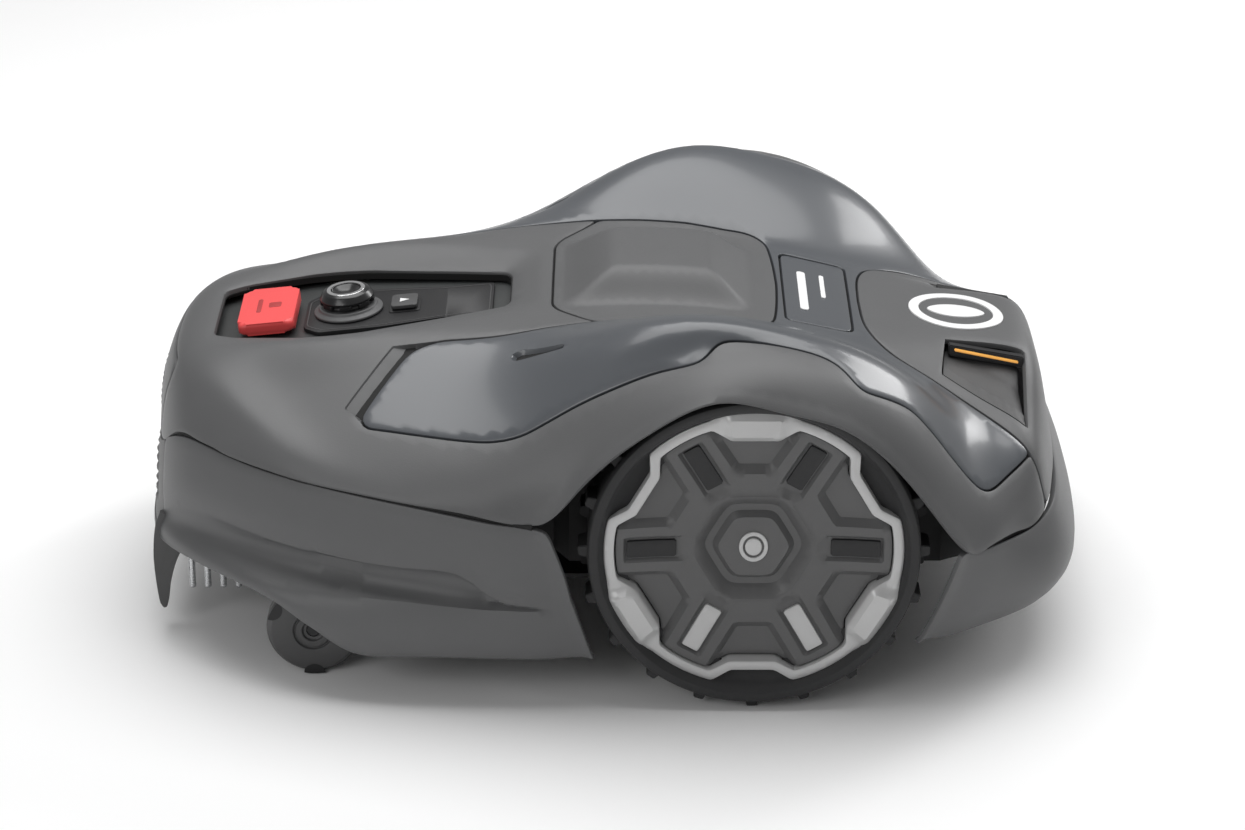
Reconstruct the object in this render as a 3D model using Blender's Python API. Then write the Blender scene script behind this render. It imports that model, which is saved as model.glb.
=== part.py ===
"""Robotic lawn mower, about 0.60 m long, on two driven rear wheels and two front casters.

Metres, +Z up, ground at z = 0.  The nose points to -X, the left side is -Y.
The painted covers are patches of one master body surface, trimmed by their seam lines.
"""
import math
import bmesh
import bpy
import numpy as np
from mathutils import Matrix, Vector
from mathutils.geometry import delaunay_2d_cdt

# ---------------------------------------------------------------- driving dimensions
SEAM = 0.0008            # half of the gap between two covers
SKIN = 0.0026            # wall of a moulded cover
PATCH = 0.024            # mesh step of a cover
CLEAR = 0.0004           # gap between touching pieces

WHEEL_X = 0.082
WHEEL_Z = 0.106
TYRE_R = 0.1005
LUG_R = 0.106
TYRE_OUT = 0.203
TYRE_IN = 0.153
LUGS = 20

CASTER_X = -0.203
CASTER_Y = 0.143
CASTER_TRAIL = 0.014
CASTER_R = 0.0295
CASTER_HALF = 0.0105

CUT_X = -0.030
BLADE_Z = 0.0275
DISC_R = 0.078

# ---------------------------------------------------------------- master body surface
# Each station is one cross-section from the centre line out to the belt / wheel-arch lip.
# Rows: centre, deck, console edge, shoulder, deck edge, inner slope, crest, outer crest,
#       fender seam, arch crease, rim edge, lip.
STATIONS = (
    ((-.2945, .000, .117), (-.2935, .030, .117), (-.291, .052, .119), (-.288, .068, .121),
     (-.284, .0825, .127), (-.2775, .0940, .1380), (-.2705, .1040, .1430), (-.2645, .1115, .1432),
     (-.2595, .1175, .1428), (-.2550, .1222, .1426), (-.2520, .1255, .1424), (-.2497, .1278, .1422)),
    ((-.2925, .000, .148), (-.2915, .030, .148), (-.288, .053, .149), (-.284, .070, .150),
     (-.278, .085, .152), (-.271, .097, .153), (-.263, .107, .153), (-.255, .116, .152),
     (-.248, .124, .150), (-.243, .131, .1475), (-.240, .136, .1450), (-.238, .139, .1412)),
    ((-.2835, .000, .173), (-.2825, .030, .173), (-.279, .052, .173), (-.274, .068, .172),
     (-.267, .083, .171), (-.258, .096, .168), (-.249, .109, .165), (-.240, .121, .161),
     (-.231, .132, .157), (-.223, .143, .152), (-.217, .150, .146), (-.214, .155, .1398)),
    ((-.264, .000, .181), (-.264, .030, .181), (-.261, .052, .181), (-.257, .070, .180),
     (-.250, .086, .178), (-.241, .101, .175), (-.231, .115, .171), (-.221, .129, .166),
     (-.211, .142, .160), (-.202, .154, .153), (-.196, .162, .146), (-.193, .168, .1387)),
    ((-.236, .000, .183), (-.236, .030, .183), (-.235, .052, .185), (-.231, .068, .1865),
     (-.225, .084, .180), (-.217, .100, .172), (-.208, .115, .167), (-.198, .131, .162),
     (-.187, .146, .157), (-.177, .160, .151), (-.171, .170, .145), (-.168, .178, .1377)),
    ((-.200, .000, .186), (-.200, .030, .186), (-.200, .052, .188), (-.198, .070, .1965),
     (-.193, .087, .1885), (-.187, .104, .178), (-.180, .120, .172), (-.172, .136, .166),
     (-.163, .152, .159), (-.153, .168, .151), (-.148, .179, .144), (-.144, .187, .1367)),
    ((-.160, .000, .190), (-.160, .030, .190), (-.160, .052, .192), (-.160, .072, .200),
     (-.157, .088, .196), (-.153, .105, .187), (-.148, .122, .180), (-.142, .139, .172),
     (-.134, .156, .164), (-.125, .175, .153), (-.120, .188, .143), (-.118, .195, .1344)),
    ((-.112, .000, .196), (-.112, .030, .196), (-.112, .052, .198), (-.112, .073, .2025),
     (-.111, .089, .199), (-.109, .106, .1925), (-.106, .124, .1845), (-.102, .144, .1755),
     (-.096, .164, .1665), (-.090, .185, .156), (-.086, .199, .142), (-.084, .202, .1318)),
    ((-.062, .000, .203), (-.062, .030, .203), (-.062, .052, .204), (-.062, .073, .205),
     (-.062, .091, .205), (-.061, .108, .203), (-.060, .126, .1985), (-.058, .150, .1885),
     (-.055, .174, .175), (-.050, .195, .158), (-.046, .206, .1370), (-.0405, .209, .1195)),
    ((-.022, .000, .209), (-.022, .030, .209), (-.022, .052, .209), (-.022, .072, .209),
     (-.022, .089, .210), (-.022, .112, .217), (-.022, .137, .2195), (-.020, .159, .209),
     (-.018, .177, .194), (-.018, .198, .173), (-.019, .208, .1635), (-.0215, .2105, .1620)),
    ((.018, .000, .210), (.018, .030, .210), (.018, .052, .210), (.018, .070, .210),
     (.018, .0845, .211), (.018, .112, .226), (.018, .149, .2395), (.018, .163, .2285),
     (.018, .174, .211), (.018, .198, .204), (.0165, .2075, .1945), (.0150, .210, .1860)),
    ((.058, .000, .208), (.058, .030, .208), (.058, .052, .208), (.058, .068, .208),
     (.058, .0795, .209), (.058, .112, .227), (.058, .156, .2445), (.058, .164, .237),
     (.058, .169, .228), (.058, .193, .2250), (.058, .2085, .2205), (.058, .211, .2160)),
    ((.098, .000, .201), (.098, .030, .201), (.098, .052, .201), (.098, .066, .202),
     (.098, .075, .2035), (.098, .110, .221), (.098, .155, .2350), (.098, .161, .2300),
     (.098, .167, .2305), (.098, .189, .2255), (.098, .2050, .2135), (.098, .211, .2010)),
    ((.138, .000, .192), (.138, .030, .192), (.138, .052, .192), (.138, .066, .192),
     (.138, .0755, .192), (.138, .110, .208), (.138, .150, .2240), (.138, .161, .2190),
     (.138, .174, .2152), (.138, .190, .2113), (.138, .205, .2025), (.138, .2105, .1958)),
    ((.178, .000, .185), (.178, .030, .185), (.178, .052, .184), (.178, .068, .182),
     (.178, .0785, .179), (.178, .108, .183), (.178, .144, .2020), (.178, .162, .1980),
     (.178, .181, .190), (.178, .198, .180), (.177, .2075, .1675), (.176, .210, .1570)),
    ((.216, .000, .181), (.216, .030, .181), (.216, .048, .180), (.216, .068, .176),
     (.215, .088, .171), (.214, .114, .166), (.213, .142, .161), (.212, .160, .155),
     (.212, .176, .145), (.212, .192, .133), (.212, .203, .118), (.213, .2085, .1005)),
    ((.244, .000, .179), (.244, .030, .179), (.244, .048, .178), (.242, .071, .173),
     (.241, .097, .167), (.240, .122, .160), (.239, .143, .152), (.237, .157, .144),
     (.235, .168, .135), (.232, .179, .126), (.229, .188, .117), (.226, .194, .108)),
    ((.266, .000, .172), (.266, .030, .172), (.265, .050, .170), (.262, .073, .167),
     (.259, .097, .162), (.257, .118, .156), (.256, .136, .149), (.254, .149, .141),
     (.251, .159, .133), (.247, .167, .125), (.243, .174, .117), (.239, .180, .108)),
    ((.271, .000, .148), (.271, .030, .148), (.2705, .052, .147), (.269, .074, .146),
     (.2675, .095, .144), (.2655, .114, .141), (.264, .130, .137), (.2615, .143, .132),
     (.2585, .153, .127), (.255, .161, .121), (.251, .168, .115), (.247, .173, .108)),
    ((.2775, .000, .112), (.2775, .030, .112), (.277, .052, .112), (.276, .074, .112),
     (.2745, .094, .112), (.272, .112, .112), (.270, .127, .112), (.2675, .139, .112),
     (.265, .149, .111), (.262, .157, .110), (.258, .164, .109), (.253, .169, .107)),
)
# Front skirt: sections from the nose round to the wheel arch, belt down to hem.
SKIRT = (
    ((-.2955, .000, .113), (-.2965, .000, .104), (-.2970, .000, .092), (-.2980, .000, .084),
     (-.2980, .000, .077), (-.2995, .000, .0690), (-.3005, .000, .0633), (-.3005, .000, .0568)),
    ((-.2945, .036, .113), (-.2955, .036, .104), (-.2960, .037, .092), (-.2970, .037, .084),
     (-.2970, .036, .077), (-.2985, .037, .0690), (-.3000, .036, .0639), (-.3000, .036, .0574)),
    ((-.2900, .066, .1195), (-.2915, .067, .108), (-.2920, .068, .096), (-.2930, .068, .086),
     (-.2930, .067, .077), (-.2950, .069, .0699), (-.2960, .069, .0649), (-.2960, .068, .0584)),
    ((-.2815, .0885, .1350), (-.2830, .093, .116), (-.2840, .095, .103), (-.2845, .094, .091),
     (-.2845, .092, .079), (-.2880, .096, .0743), (-.2890, .097, .0693), (-.2885, .096, .0628)),
    ((-.2655, .1105, .1440), (-.269, .116, .124), (-.270, .119, .109), (-.268, .118, .098),
     (-.2635, .115, .082), (-.268, .124, .0766), (-.269, .126, .0716), (-.268, .125, .0651)),
    ((-.2400, .1360, .1412), (-.241, .140, .124), (-.240, .144, .108), (-.237, .142, .098),
     (-.232, .138, .083), (-.236, .150, .0750), (-.238, .154, .0700), (-.237, .153, .0635)),
    ((-.205, .160, .1388), (-.205, .164, .122), (-.203, .168, .106), (-.201, .166, .095),
     (-.198, .161, .082), (-.200, .176, .069), (-.203, .181, .0672), (-.202, .180, .0607)),
    ((-.160, .181, .1366), (-.158, .185, .118), (-.156, .188, .102), (-.155, .186, .092),
     (-.155, .180, .080), (-.162, .192, .067), (-.168, .194, .0370), (-.168, .192, .0255)),
    ((-.112, .196, .1331), (-.110, .199, .114), (-.108, .200, .099), (-.108, .198, .089),
     (-.110, .192, .078), (-.115, .200, .069), (-.122, .200, .0380), (-.122, .198, .0334)),
    ((-.075, .204, .1274), (-.073, .206, .111), (-.071, .206, .094), (-.070, .205, .082),
     (-.071, .201, .074), (-.072, .204, .068), (-.074, .203, .0370), (-.074, .201, .0318)),
    ((-.042, .209, .1243), (-.036, .2095, .109), (-.030, .209, .091), (-.028, .2085, .079),
     (-.026, .207, .073), (-.024, .206, .067), (-.0145, .2045, .0370), (-.0130, .202, .0327)),
)
# Rear bumper: sections from the wheel arch round to the centre of the tail.
BUMPER = (
    ((.2065, .2085, .1085), (.2015, .2080, .0920), (.1935, .2060, .0700), (.1865, .2030, .0520), (.1820, .2000, .0420)),
    ((.2230, .1965, .1068), (.2215, .1975, .0910), (.2150, .1970, .0690), (.2060, .1930, .0490), (.2000, .1890, .0400)),
    ((.2430, .1780, .1068), (.2470, .1820, .0920), (.2465, .1830, .0700), (.2345, .1765, .0500), (.2270, .1720, .0420)),
    ((.2560, .1640, .1075), (.2650, .1680, .0930), (.2700, .1690, .0740), (.2640, .1650, .0550), (.2545, .1595, .0480)),
    ((.2690, .1430, .1110), (.2780, .1465, .0950), (.2835, .1460, .0780), (.2810, .1430, .0640), (.2730, .1390, .0570)),
    ((.2750, .1090, .1125), (.2830, .1110, .0960), (.2890, .1110, .0790), (.2885, .1080, .0650), (.2820, .1050, .0580)),
    ((.2765, .0600, .1125), (.2850, .0610, .0960), (.2925, .0610, .0770), (.2915, .0590, .0620), (.2850, .0570, .0550)),
    ((.2775, .0000, .1125), (.2860, .0000, .0960), (.2935, .0000, .0760), (.2925, .0000, .0610), (.2860, .0000, .0540)),
)


class Surface:
    """Uniform cubic B-spline sheet over rows of points; each row starts on the centre plane."""

    def __init__(self, rows):
        grid = np.array(rows, dtype=float)
        grid = np.concatenate(([2 * grid[0] - grid[1]], grid, [2 * grid[-1] - grid[-2]]))
        mirrored = grid[:, 1] * (1.0, -1.0, 1.0)
        beyond = 2 * grid[:, -1] - grid[:, -2]
        self.grid = np.concatenate((mirrored[:, None], grid, beyond[:, None]), axis=1)
        self.s_max = len(rows) - 1.0
        self.q_max = len(rows[0]) - 1.0

    @staticmethod
    def weights(t):
        return np.stack(((1 - t) ** 3, 3 * t ** 3 - 6 * t ** 2 + 4,
                         -3 * t ** 3 + 3 * t ** 2 + 3 * t + 1, t ** 3), axis=-1) / 6.0

    def points(self, s, q):
        """Points of the sheet; a negative q is the mirrored side."""
        s = np.clip(np.asarray(s, dtype=float), 0.0, self.s_max)
        side = np.where(np.asarray(q) < 0.0, -1.0, 1.0)
        q = np.clip(np.abs(q), 0.0, self.q_max)
        i = np.minimum(s.astype(int), int(self.s_max) - 1)
        j = np.minimum(q.astype(int), int(self.q_max) - 1)
        ws = self.weights(s - i)
        wq = self.weights(q - j)
        out = np.zeros(s.shape + (3,))
        for a in range(4):
            for b in range(4):
                out += (ws[..., a] * wq[..., b])[..., None] * self.grid[i + a, j + b]
        out[..., 1] *= side
        return out

    def frames(self, s, q, step=1e-3):
        """Partial derivatives and the outward unit normal."""
        s = np.clip(np.asarray(s, dtype=float), step, self.s_max - step)
        q = np.asarray(q, dtype=float)
        q = np.clip(q, -self.q_max + step, self.q_max - step)
        ds = (self.points(s + step, q) - self.points(s - step, q)) / (2 * step)
        dq = (self.points(s, q + step) - self.points(s, q - step)) / (2 * step)
        normal = np.cross(ds, dq)
        normal /= np.linalg.norm(normal, axis=-1, keepdims=True)
        return ds, dq, normal

    def snap(self, targets, rounds=12):
        """Surface parameters (s, q) of the points nearest to the targets."""
        targets = np.atleast_2d(np.asarray(targets, dtype=float))
        ss, qq = np.meshgrid(np.linspace(0, self.s_max, 140), np.linspace(0, self.q_max, 90),
                             indexing="ij")
        cloud = self.points(ss, qq)
        found = []
        for target in targets:
            side = -1.0 if target[1] < 0 else 1.0
            goal = target * (1.0, side, 1.0)
            k = np.argmin(((cloud - goal) ** 2).sum(axis=-1))
            s, q = ss.flat[k], qq.flat[k]
            for _ in range(rounds):
                ds, dq, _n = self.frames(s, q)
                miss = goal - self.points(s, q)
                move = np.linalg.lstsq(np.stack((ds, dq), axis=1), miss, rcond=None)[0]
                s = float(np.clip(s + move[0], 0, self.s_max))
                q = float(np.clip(q + move[1], 0, self.q_max))
            found.append((s, q * side))
        return np.array(found)


def ramp(value, low, high):
    """Smooth step from 0 at low to 1 at high."""
    t = min(1.0, max(0.0, (value - low) / (high - low)))
    return t * t * (3 - 2 * t)


def tuck(point):
    """Behind the wheels the tail draws in towards the centre and sinks a little."""
    x, y, z = point
    amount = 0.016 * ramp(x, .150, .218) * ramp(y, .030, .120) * (1 - 0.75 * ramp(y, .150, .208))
    amount *= 1 - 0.3 * ramp(x, .235, .275)
    return (x, y - amount, z - 0.445 * amount)


def across(sections):
    """Swap a list of sections into rows that run round the machine."""
    return [[section[k] for section in sections] for k in range(len(sections[0]))]


BODY = Surface([[tuck(point) for point in section] for section in STATIONS])
FRONT = Surface(across(SKIRT)[::-1])
REAR = Surface(across([[tuck(point) for point in section] for section in BUMPER[::-1]]))


# ---------------------------------------------------------------- outlines
def rounded(points, radius, steps=3):
    """Closed polyline with its corners cut by short arcs."""
    out = []
    count = len(points)
    for k in range(count):
        a, b, c = (np.array(points[(k + o) % count], dtype=float) for o in (-1, 0, 1))
        back, ahead = a - b, c - b
        cut = min(radius, 0.45 * np.linalg.norm(back), 0.45 * np.linalg.norm(ahead))
        p = b + back / np.linalg.norm(back) * cut
        r = b + ahead / np.linalg.norm(ahead) * cut
        for t in np.linspace(0, 1, steps + 1):
            out.append((1 - t) ** 2 * p + 2 * t * (1 - t) * b + t ** 2 * r)
    return out


def resample(points, step):
    """Open polyline resampled at about equal steps, ends kept."""
    points = np.array(points, dtype=float)
    gaps = np.linalg.norm(np.diff(points, axis=0), axis=1)
    travel = np.concatenate(([0.0], np.cumsum(gaps)))
    count = max(1, int(round(travel[-1] / step)))
    marks = np.linspace(0, travel[-1], count + 1)
    return np.stack([np.interp(marks, travel, points[:, k]) for k in range(points.shape[1])], axis=1)


def smooth(points, per=6):
    """Catmull-Rom curve through the points."""
    pts = [np.array(p, dtype=float) for p in points]
    pts = [2 * pts[0] - pts[1]] + pts + [2 * pts[-1] - pts[-2]]
    out = []
    for k in range(1, len(pts) - 2):
        a, b, c, d = pts[k - 1:k + 3]
        for t in np.linspace(0, 1, per, endpoint=False):
            out.append(0.5 * (2 * b + (c - a) * t + (2 * a - 5 * b + 4 * c - d) * t * t
                              + (3 * b - a - 3 * c + d) * t ** 3))
    out.append(pts[-2])
    return out


def inside(loop, points):
    """Even-odd test of many points against one closed loop."""
    x, y = points[:, 0], points[:, 1]
    hit = np.zeros(len(points), dtype=bool)
    for (x1, y1), (x2, y2) in zip(loop, np.roll(loop, -1, axis=0)):
        if y1 == y2:
            continue
        cross = (y1 > y) != (y2 > y)
        hit ^= cross & (x < (x2 - x1) * (y - y1) / (y2 - y1) + x1)
    return hit


def area(loop):
    nxt = np.roll(loop, -1, axis=0)
    return 0.5 * np.sum(loop[:, 0] * nxt[:, 1] - nxt[:, 0] * loop[:, 1])


def inset(sheet, loop, distance):
    """Parameter loop moved inwards by a true distance along the surface."""
    prev, nxt = np.roll(loop, 1, axis=0), np.roll(loop, -1, axis=0)
    here = sheet.points(loop[:, 0], loop[:, 1])
    before = sheet.points(prev[:, 0], prev[:, 1])
    after = sheet.points(nxt[:, 0], nxt[:, 1])
    ds, dq, normal = sheet.frames(loop[:, 0], loop[:, 1])
    turn = 1.0 if area(loop) > 0 else -1.0
    out = []
    for k in range(len(loop)):
        one = (here[k] - before[k]) / max(np.linalg.norm(here[k] - before[k]), 1e-9)
        two = (after[k] - here[k]) / max(np.linalg.norm(after[k] - here[k]), 1e-9)
        side_a = np.cross(normal[k], one) * turn
        side_b = np.cross(normal[k], two) * turn
        way = side_a + side_b
        way /= max(np.linalg.norm(way), 1e-9)
        reach = distance / max(0.5, float(way @ side_b))
        move = np.linalg.lstsq(np.stack((ds[k], dq[k]), axis=1), way * reach, rcond=None)[0]
        out.append(loop[k] + move)
    return np.array(out)


# ---------------------------------------------------------------- mesh helpers
def material(name, colour, rough, metal=0.0):
    mat = bpy.data.materials.new(name)
    mat.use_nodes = True
    shader = mat.node_tree.nodes["Principled BSDF"]
    shader.inputs["Base Color"].default_value = (*colour, 1.0)
    shader.inputs["Roughness"].default_value = rough
    shader.inputs["Metallic"].default_value = metal
    return mat


COLOURS = {
    "cover": ((0.10, 0.10, 0.10), 0.55, 0.0),
    "gloss": ((0.13, 0.14, 0.15), 0.22, 0.0),
    "black": ((0.02, 0.02, 0.02), 0.35, 0.0),
    "rubber": ((0.035, 0.035, 0.035), 0.85, 0.0),
    "silver": ((0.48, 0.48, 0.48), 0.40, 0.0),
    "red": ((0.75, 0.09, 0.08), 0.40, 0.0),
    "white": ((0.85, 0.85, 0.85), 0.40, 0.0),
    "amber": ((0.90, 0.45, 0.10), 0.30, 0.0),
    "steel": ((0.55, 0.55, 0.56), 0.30, 1.0),
    "battery": ((0.05, 0.06, 0.08), 0.60, 0.0),
    "board": ((0.03, 0.16, 0.07), 0.50, 0.0),
}


def finish(name, mesh, kind, origin=(0.0, 0.0, 0.0)):
    """New object from a bmesh, welded and outward facing, with its own material."""
    bmesh.ops.remove_doubles(mesh, verts=mesh.verts, dist=1e-6)
    wires = [edge for edge in mesh.edges if not edge.link_faces]
    bmesh.ops.delete(mesh, geom=wires, context="EDGES")
    bmesh.ops.recalc_face_normals(mesh, faces=mesh.faces)
    bmesh.ops.translate(mesh, verts=mesh.verts, vec=-Vector(origin))
    data = bpy.data.meshes.new(name)
    mesh.to_mesh(data)
    mesh.free()
    obj = bpy.data.objects.new(name, data)
    obj.location = origin
    bpy.context.scene.collection.objects.link(obj)
    colour, rough, metal = COLOURS[kind]
    data.materials.append(material(name, colour, rough, metal))
    return obj


def shade_round(obj, angle=0.6):
    """Smooth shading, with edges sharper than the angle kept crisp."""
    mesh = bmesh.new()
    mesh.from_mesh(obj.data)
    for face in mesh.faces:
        face.smooth = True
    for edge in mesh.edges:
        edge.smooth = len(edge.link_faces) == 2 and edge.calc_face_angle(0.0) < angle
    mesh.to_mesh(obj.data)
    mesh.free()
    return obj


def boolean(obj, cutter, operation="DIFFERENCE"):
    """Apply one exact boolean and drop the cutter."""
    mod = obj.modifiers.new("cut", "BOOLEAN")
    mod.operation = operation
    mod.solver = "EXACT"
    mod.object = cutter
    bpy.context.view_layer.update()
    graph = bpy.context.evaluated_depsgraph_get()
    data = bpy.data.meshes.new_from_object(obj.evaluated_get(graph))
    obj.modifiers.clear()
    obj.data = data
    bpy.data.objects.remove(cutter)
    return obj


def patch(name, kind, sheet, loop, holes=(), step=PATCH, gap=SEAM, skin=SKIN, bump=None):
    """Moulded cover: the part of the sheet inside the loop, given a wall thickness."""
    rings = [inset(sheet, loop, gap)] + [inset(sheet, hole, -gap) for hole in holes]
    scale = np.array((0.030, 0.018))
    cells_s = int(sheet.s_max * 0.030 / step) + 1
    cells_q = int(2 * sheet.q_max * 0.018 / step) + 1
    ss, qq = np.meshgrid(np.linspace(0, sheet.s_max, cells_s),
                         np.linspace(-sheet.q_max, sheet.q_max, cells_q), indexing="ij")
    cloud = np.stack((ss.ravel(), qq.ravel()), axis=1)
    cloud = cloud[inside(rings[0], cloud)]
    for ring in rings[1:]:
        cloud = cloud[~inside(ring, cloud)]
    rim = np.concatenate(rings)
    rim_at = sheet.points(rim[:, 0], rim[:, 1])
    at = sheet.points(cloud[:, 0], cloud[:, 1])
    near = np.array([np.min(((rim_at - p) ** 2).sum(axis=1)) for p in at]) if len(at) else np.zeros(0)
    cloud = cloud[near > (0.45 * step) ** 2]
    params = np.concatenate((rim, cloud))
    edges = []
    start = 0
    for ring in rings:
        edges += [(start + k, start + (k + 1) % len(ring)) for k in range(len(ring))]
        start += len(ring)
    flat = [Vector(p) for p in params * scale]
    _v, _e, faces, origins, _eo, _fo = delaunay_2d_cdt(flat, edges, [], 0, 1e-9)
    index = {k: source[0] for k, source in enumerate(origins) if source}
    tops = sheet.points(params[:, 0], params[:, 1])
    normals = sheet.frames(params[:, 0], params[:, 1])[2]
    if bump is not None:
        tops = tops + normals * np.array([bump(*p) for p in tops])[:, None]
    lows = tops - normals * skin
    mesh = bmesh.new()
    top = [mesh.verts.new(p) for p in tops]
    low = [mesh.verts.new(p) for p in lows]
    for face in faces:
        ids = [index[k] for k in face]
        middle = params[ids].mean(axis=0)[None, :]
        if not inside(rings[0], middle)[0] or any(inside(ring, middle)[0] for ring in rings[1:]):
            continue
        mesh.faces.new([top[k] for k in ids])
        mesh.faces.new([low[k] for k in reversed(ids)])
    for a, b in edges:
        mesh.faces.new((top[a], low[a], low[b], top[b]))
    loose = [v for v in mesh.verts if not v.link_faces]
    bmesh.ops.delete(mesh, geom=loose, context="VERTS")
    return shade_round(finish(name, mesh, kind))


def both_sides(half):
    """Close a right-hand half loop with its mirror image."""
    half = np.array(half)
    left = half[::-1] * (1.0, -1.0)
    if abs(half[0][1]) < 1e-6:
        left = left[:-1]
    if abs(half[-1][1]) < 1e-6:
        left = left[1:]
    return np.concatenate((half, left))


def traced(sheet, runs, step=PATCH * 0.8):
    """Half loop made of curves; each run is ('free', points) or ('grid', parameter points)."""
    out = []
    for kind, points in runs:
        if kind == "free":
            marks = sheet.snap(resample(smooth(points), step))
        elif kind == "straight":
            marks = sheet.snap(resample(points, step))
        else:
            dense = resample(points, 0.05)
            at = sheet.points(dense[:, 0], dense[:, 1])
            travel = np.concatenate(([0], np.cumsum(np.linalg.norm(np.diff(at, axis=0), axis=1))))
            stops = np.linspace(0, travel[-1], max(1, int(round(travel[-1] / step))) + 1)
            marks = np.stack([np.interp(stops, travel, dense[:, k]) for k in (0, 1)], axis=1)
        if out:
            marks = marks[1:] if np.linalg.norm(marks[0] - out[-1]) < 0.12 else marks
        out.extend(marks)
    return np.array(out)


def lathe(name, kind, profile, axis, centre, segments=32, tooth=None, origin=None):
    """Turned solid: profile of (radius, offset along the axis); a closed ring or a spindle."""
    mesh = bmesh.new()
    axis_turn = {"X": Matrix.Rotation(math.pi / 2, 3, "Y"), "Y": Matrix.Rotation(-math.pi / 2, 3, "X"),
                 "Z": Matrix.Identity(3)}[axis]
    ring = []
    for k in range(segments):
        angle = 2 * math.pi * (k + 0.5) / segments
        column = []
        for radius, offset in profile:
            point = Vector((radius * math.cos(angle), radius * math.sin(angle), offset))
            column.append(mesh.verts.new(axis_turn @ point + Vector(centre)))
        ring.append(column)
    closed = profile[0][0] > 1e-6 and profile[-1][0] > 1e-6
    span = len(profile) if closed else len(profile) - 1
    for k in range(segments):
        a, b = ring[k], ring[(k + 1) % segments]
        for j in range(span):
            n = (j + 1) % len(profile)
            mesh.faces.new((a[j], b[j], b[n], a[n]))
    bmesh.ops.remove_doubles(mesh, verts=mesh.verts, dist=1e-6)
    for face in [f for f in mesh.faces if f.calc_area() < 1e-12]:
        mesh.faces.remove(face)
    return shade_round(finish(name, mesh, kind, origin or centre))


def block(name, kind, low, high, bevel=0.0, origin=None):
    """Rectangular solid between two corners, with its edges chamfered."""
    mesh = bmesh.new()
    bmesh.ops.create_cube(mesh, size=1.0)
    low, high = Vector(low), Vector(high)
    for vert in mesh.verts:
        vert.co = Vector([(low[k] + high[k]) / 2 + vert.co[k] * (high[k] - low[k]) for k in range(3)])
    if bevel:
        bmesh.ops.bevel(mesh, geom=list(mesh.edges), offset=bevel, segments=1, affect="EDGES")
    return finish(name, mesh, kind, origin or (low + high) / 2)


def prism(name, kind, outline, low, high, axis="Z", origin=(0, 0, 0)):
    """Solid with a flat outline, extruded between two levels along one axis."""
    mesh = bmesh.new()
    rows = []
    for level in (low, high):
        row = []
        for a, b in outline:
            point = {"Z": (a, b, level), "Y": (a, level, b), "X": (level, a, b)}[axis]
            row.append(mesh.verts.new(point))
        rows.append(row)
    mesh.faces.new(rows[0])
    mesh.faces.new(rows[1])
    for k in range(len(outline)):
        n = (k + 1) % len(outline)
        mesh.faces.new((rows[0][k], rows[0][n], rows[1][n], rows[1][k]))
    return finish(name, mesh, kind, origin)


def start():
    for obj in list(bpy.data.objects):
        bpy.data.objects.remove(obj)


start()

# ---------------------------------------------------------------- seam lines (right-hand side)
FENDER_SEAM = ((-.155, .146, .1655), (-.1172, .1588, .1653), (-.0885, .169, .1663), (-.0734, .1734, .1681),
               (-.0578, .1755, .1729), (-.0417, .1746, .1817), (-.0245, .1741, .1919), (-.0048, .1747, .2021),
               (.0217, .1754, .2136), (.044, .1783, .2205), (.0508, .1766, .2232), (.0589, .1683, .2289),
               (.0656, .1664, .2307), (.0805, .1666, .2302), (.102, .1676, .2271), (.1222, .1683, .2213),
               (.133, .172, .216), (.1437, .1823, .2075), (.1505, .1822, .2035), (.174, .1743, .1907),
               (.1862, .1751, .1789), (.202, .1776, .1595), (.2153, .1784, .1432), (.2218, .1774, .1375),
               (.2286, .1726, .136), (.2396, .1605, .1400), (.258, .143, .150))
FENDER_NOSE = ((-.158, .141, .170), (-.146, .122, .180), (-.130, .099, .192), (-.118, .092, .197))
DECK_SEAM = ((-.110, .090, .1985), (-.073, .0925, .2035), (-.042, .0895, .2065), (-.013, .0875, .209))
MODULE_NOSE = ((-.013, .0875, .209), (-.037, .060, .206), (-.041, .050, .205), (-.041, .000, .204))
MODULE_SIDE = ((-.013, .0875, .209), (.016, .0848, .211), (.044, .082, .210), (.070, .0775, .206))
MODULE_TAIL = ((.070, .0775, .206), (.086, .0755, .204), (.096, .068, .203), (.099, .055, .202),
               (.101, .030, .202), (.102, .000, .202))
REAR_SEAM = ((.154, .000, .189), (.155, .030, .189), (.158, .048, .188), (.165, .064, .185),
             (.178, .080, .179), (.199, .101, .172), (.228, .122, .162), (.258, .143, .150))
TAIL_SEAM = ((.258, .143, .150), (.2635, .146, .136), (.266, .148, .124))
PLATE = ((.1055, .0565), (.1480, .055), (.1480, -.055), (.1055, -.0565))
FENDER_SEAM, REAR_SEAM, TAIL_SEAM = ([tuck(point) for point in line]
                                     for line in (FENDER_SEAM, REAR_SEAM, TAIL_SEAM))
CONSOLE_HALF = ((-.2555, .036), (-.2417, .0435), (-.2255, .047), (-.200, .052), (-.181, .0525),
                (-.162, .051), (-.1434, .0465), (-.1247, .042), (-.106, .0375), (-.0859, .032),
                (-.0727, .0285), (-.0695, .022))
RIM_HALF = ((-.2625, .044), (-.2550, .055), (-.2397, .0625), (-.2232, .070), (-.1975, .078),
            (-.1786, .0805), (-.160, .078), (-.1416, .074), (-.123, .069), (-.095, .060),
            (-.070, .053), (-.055, .049), (-.049, .040))


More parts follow.
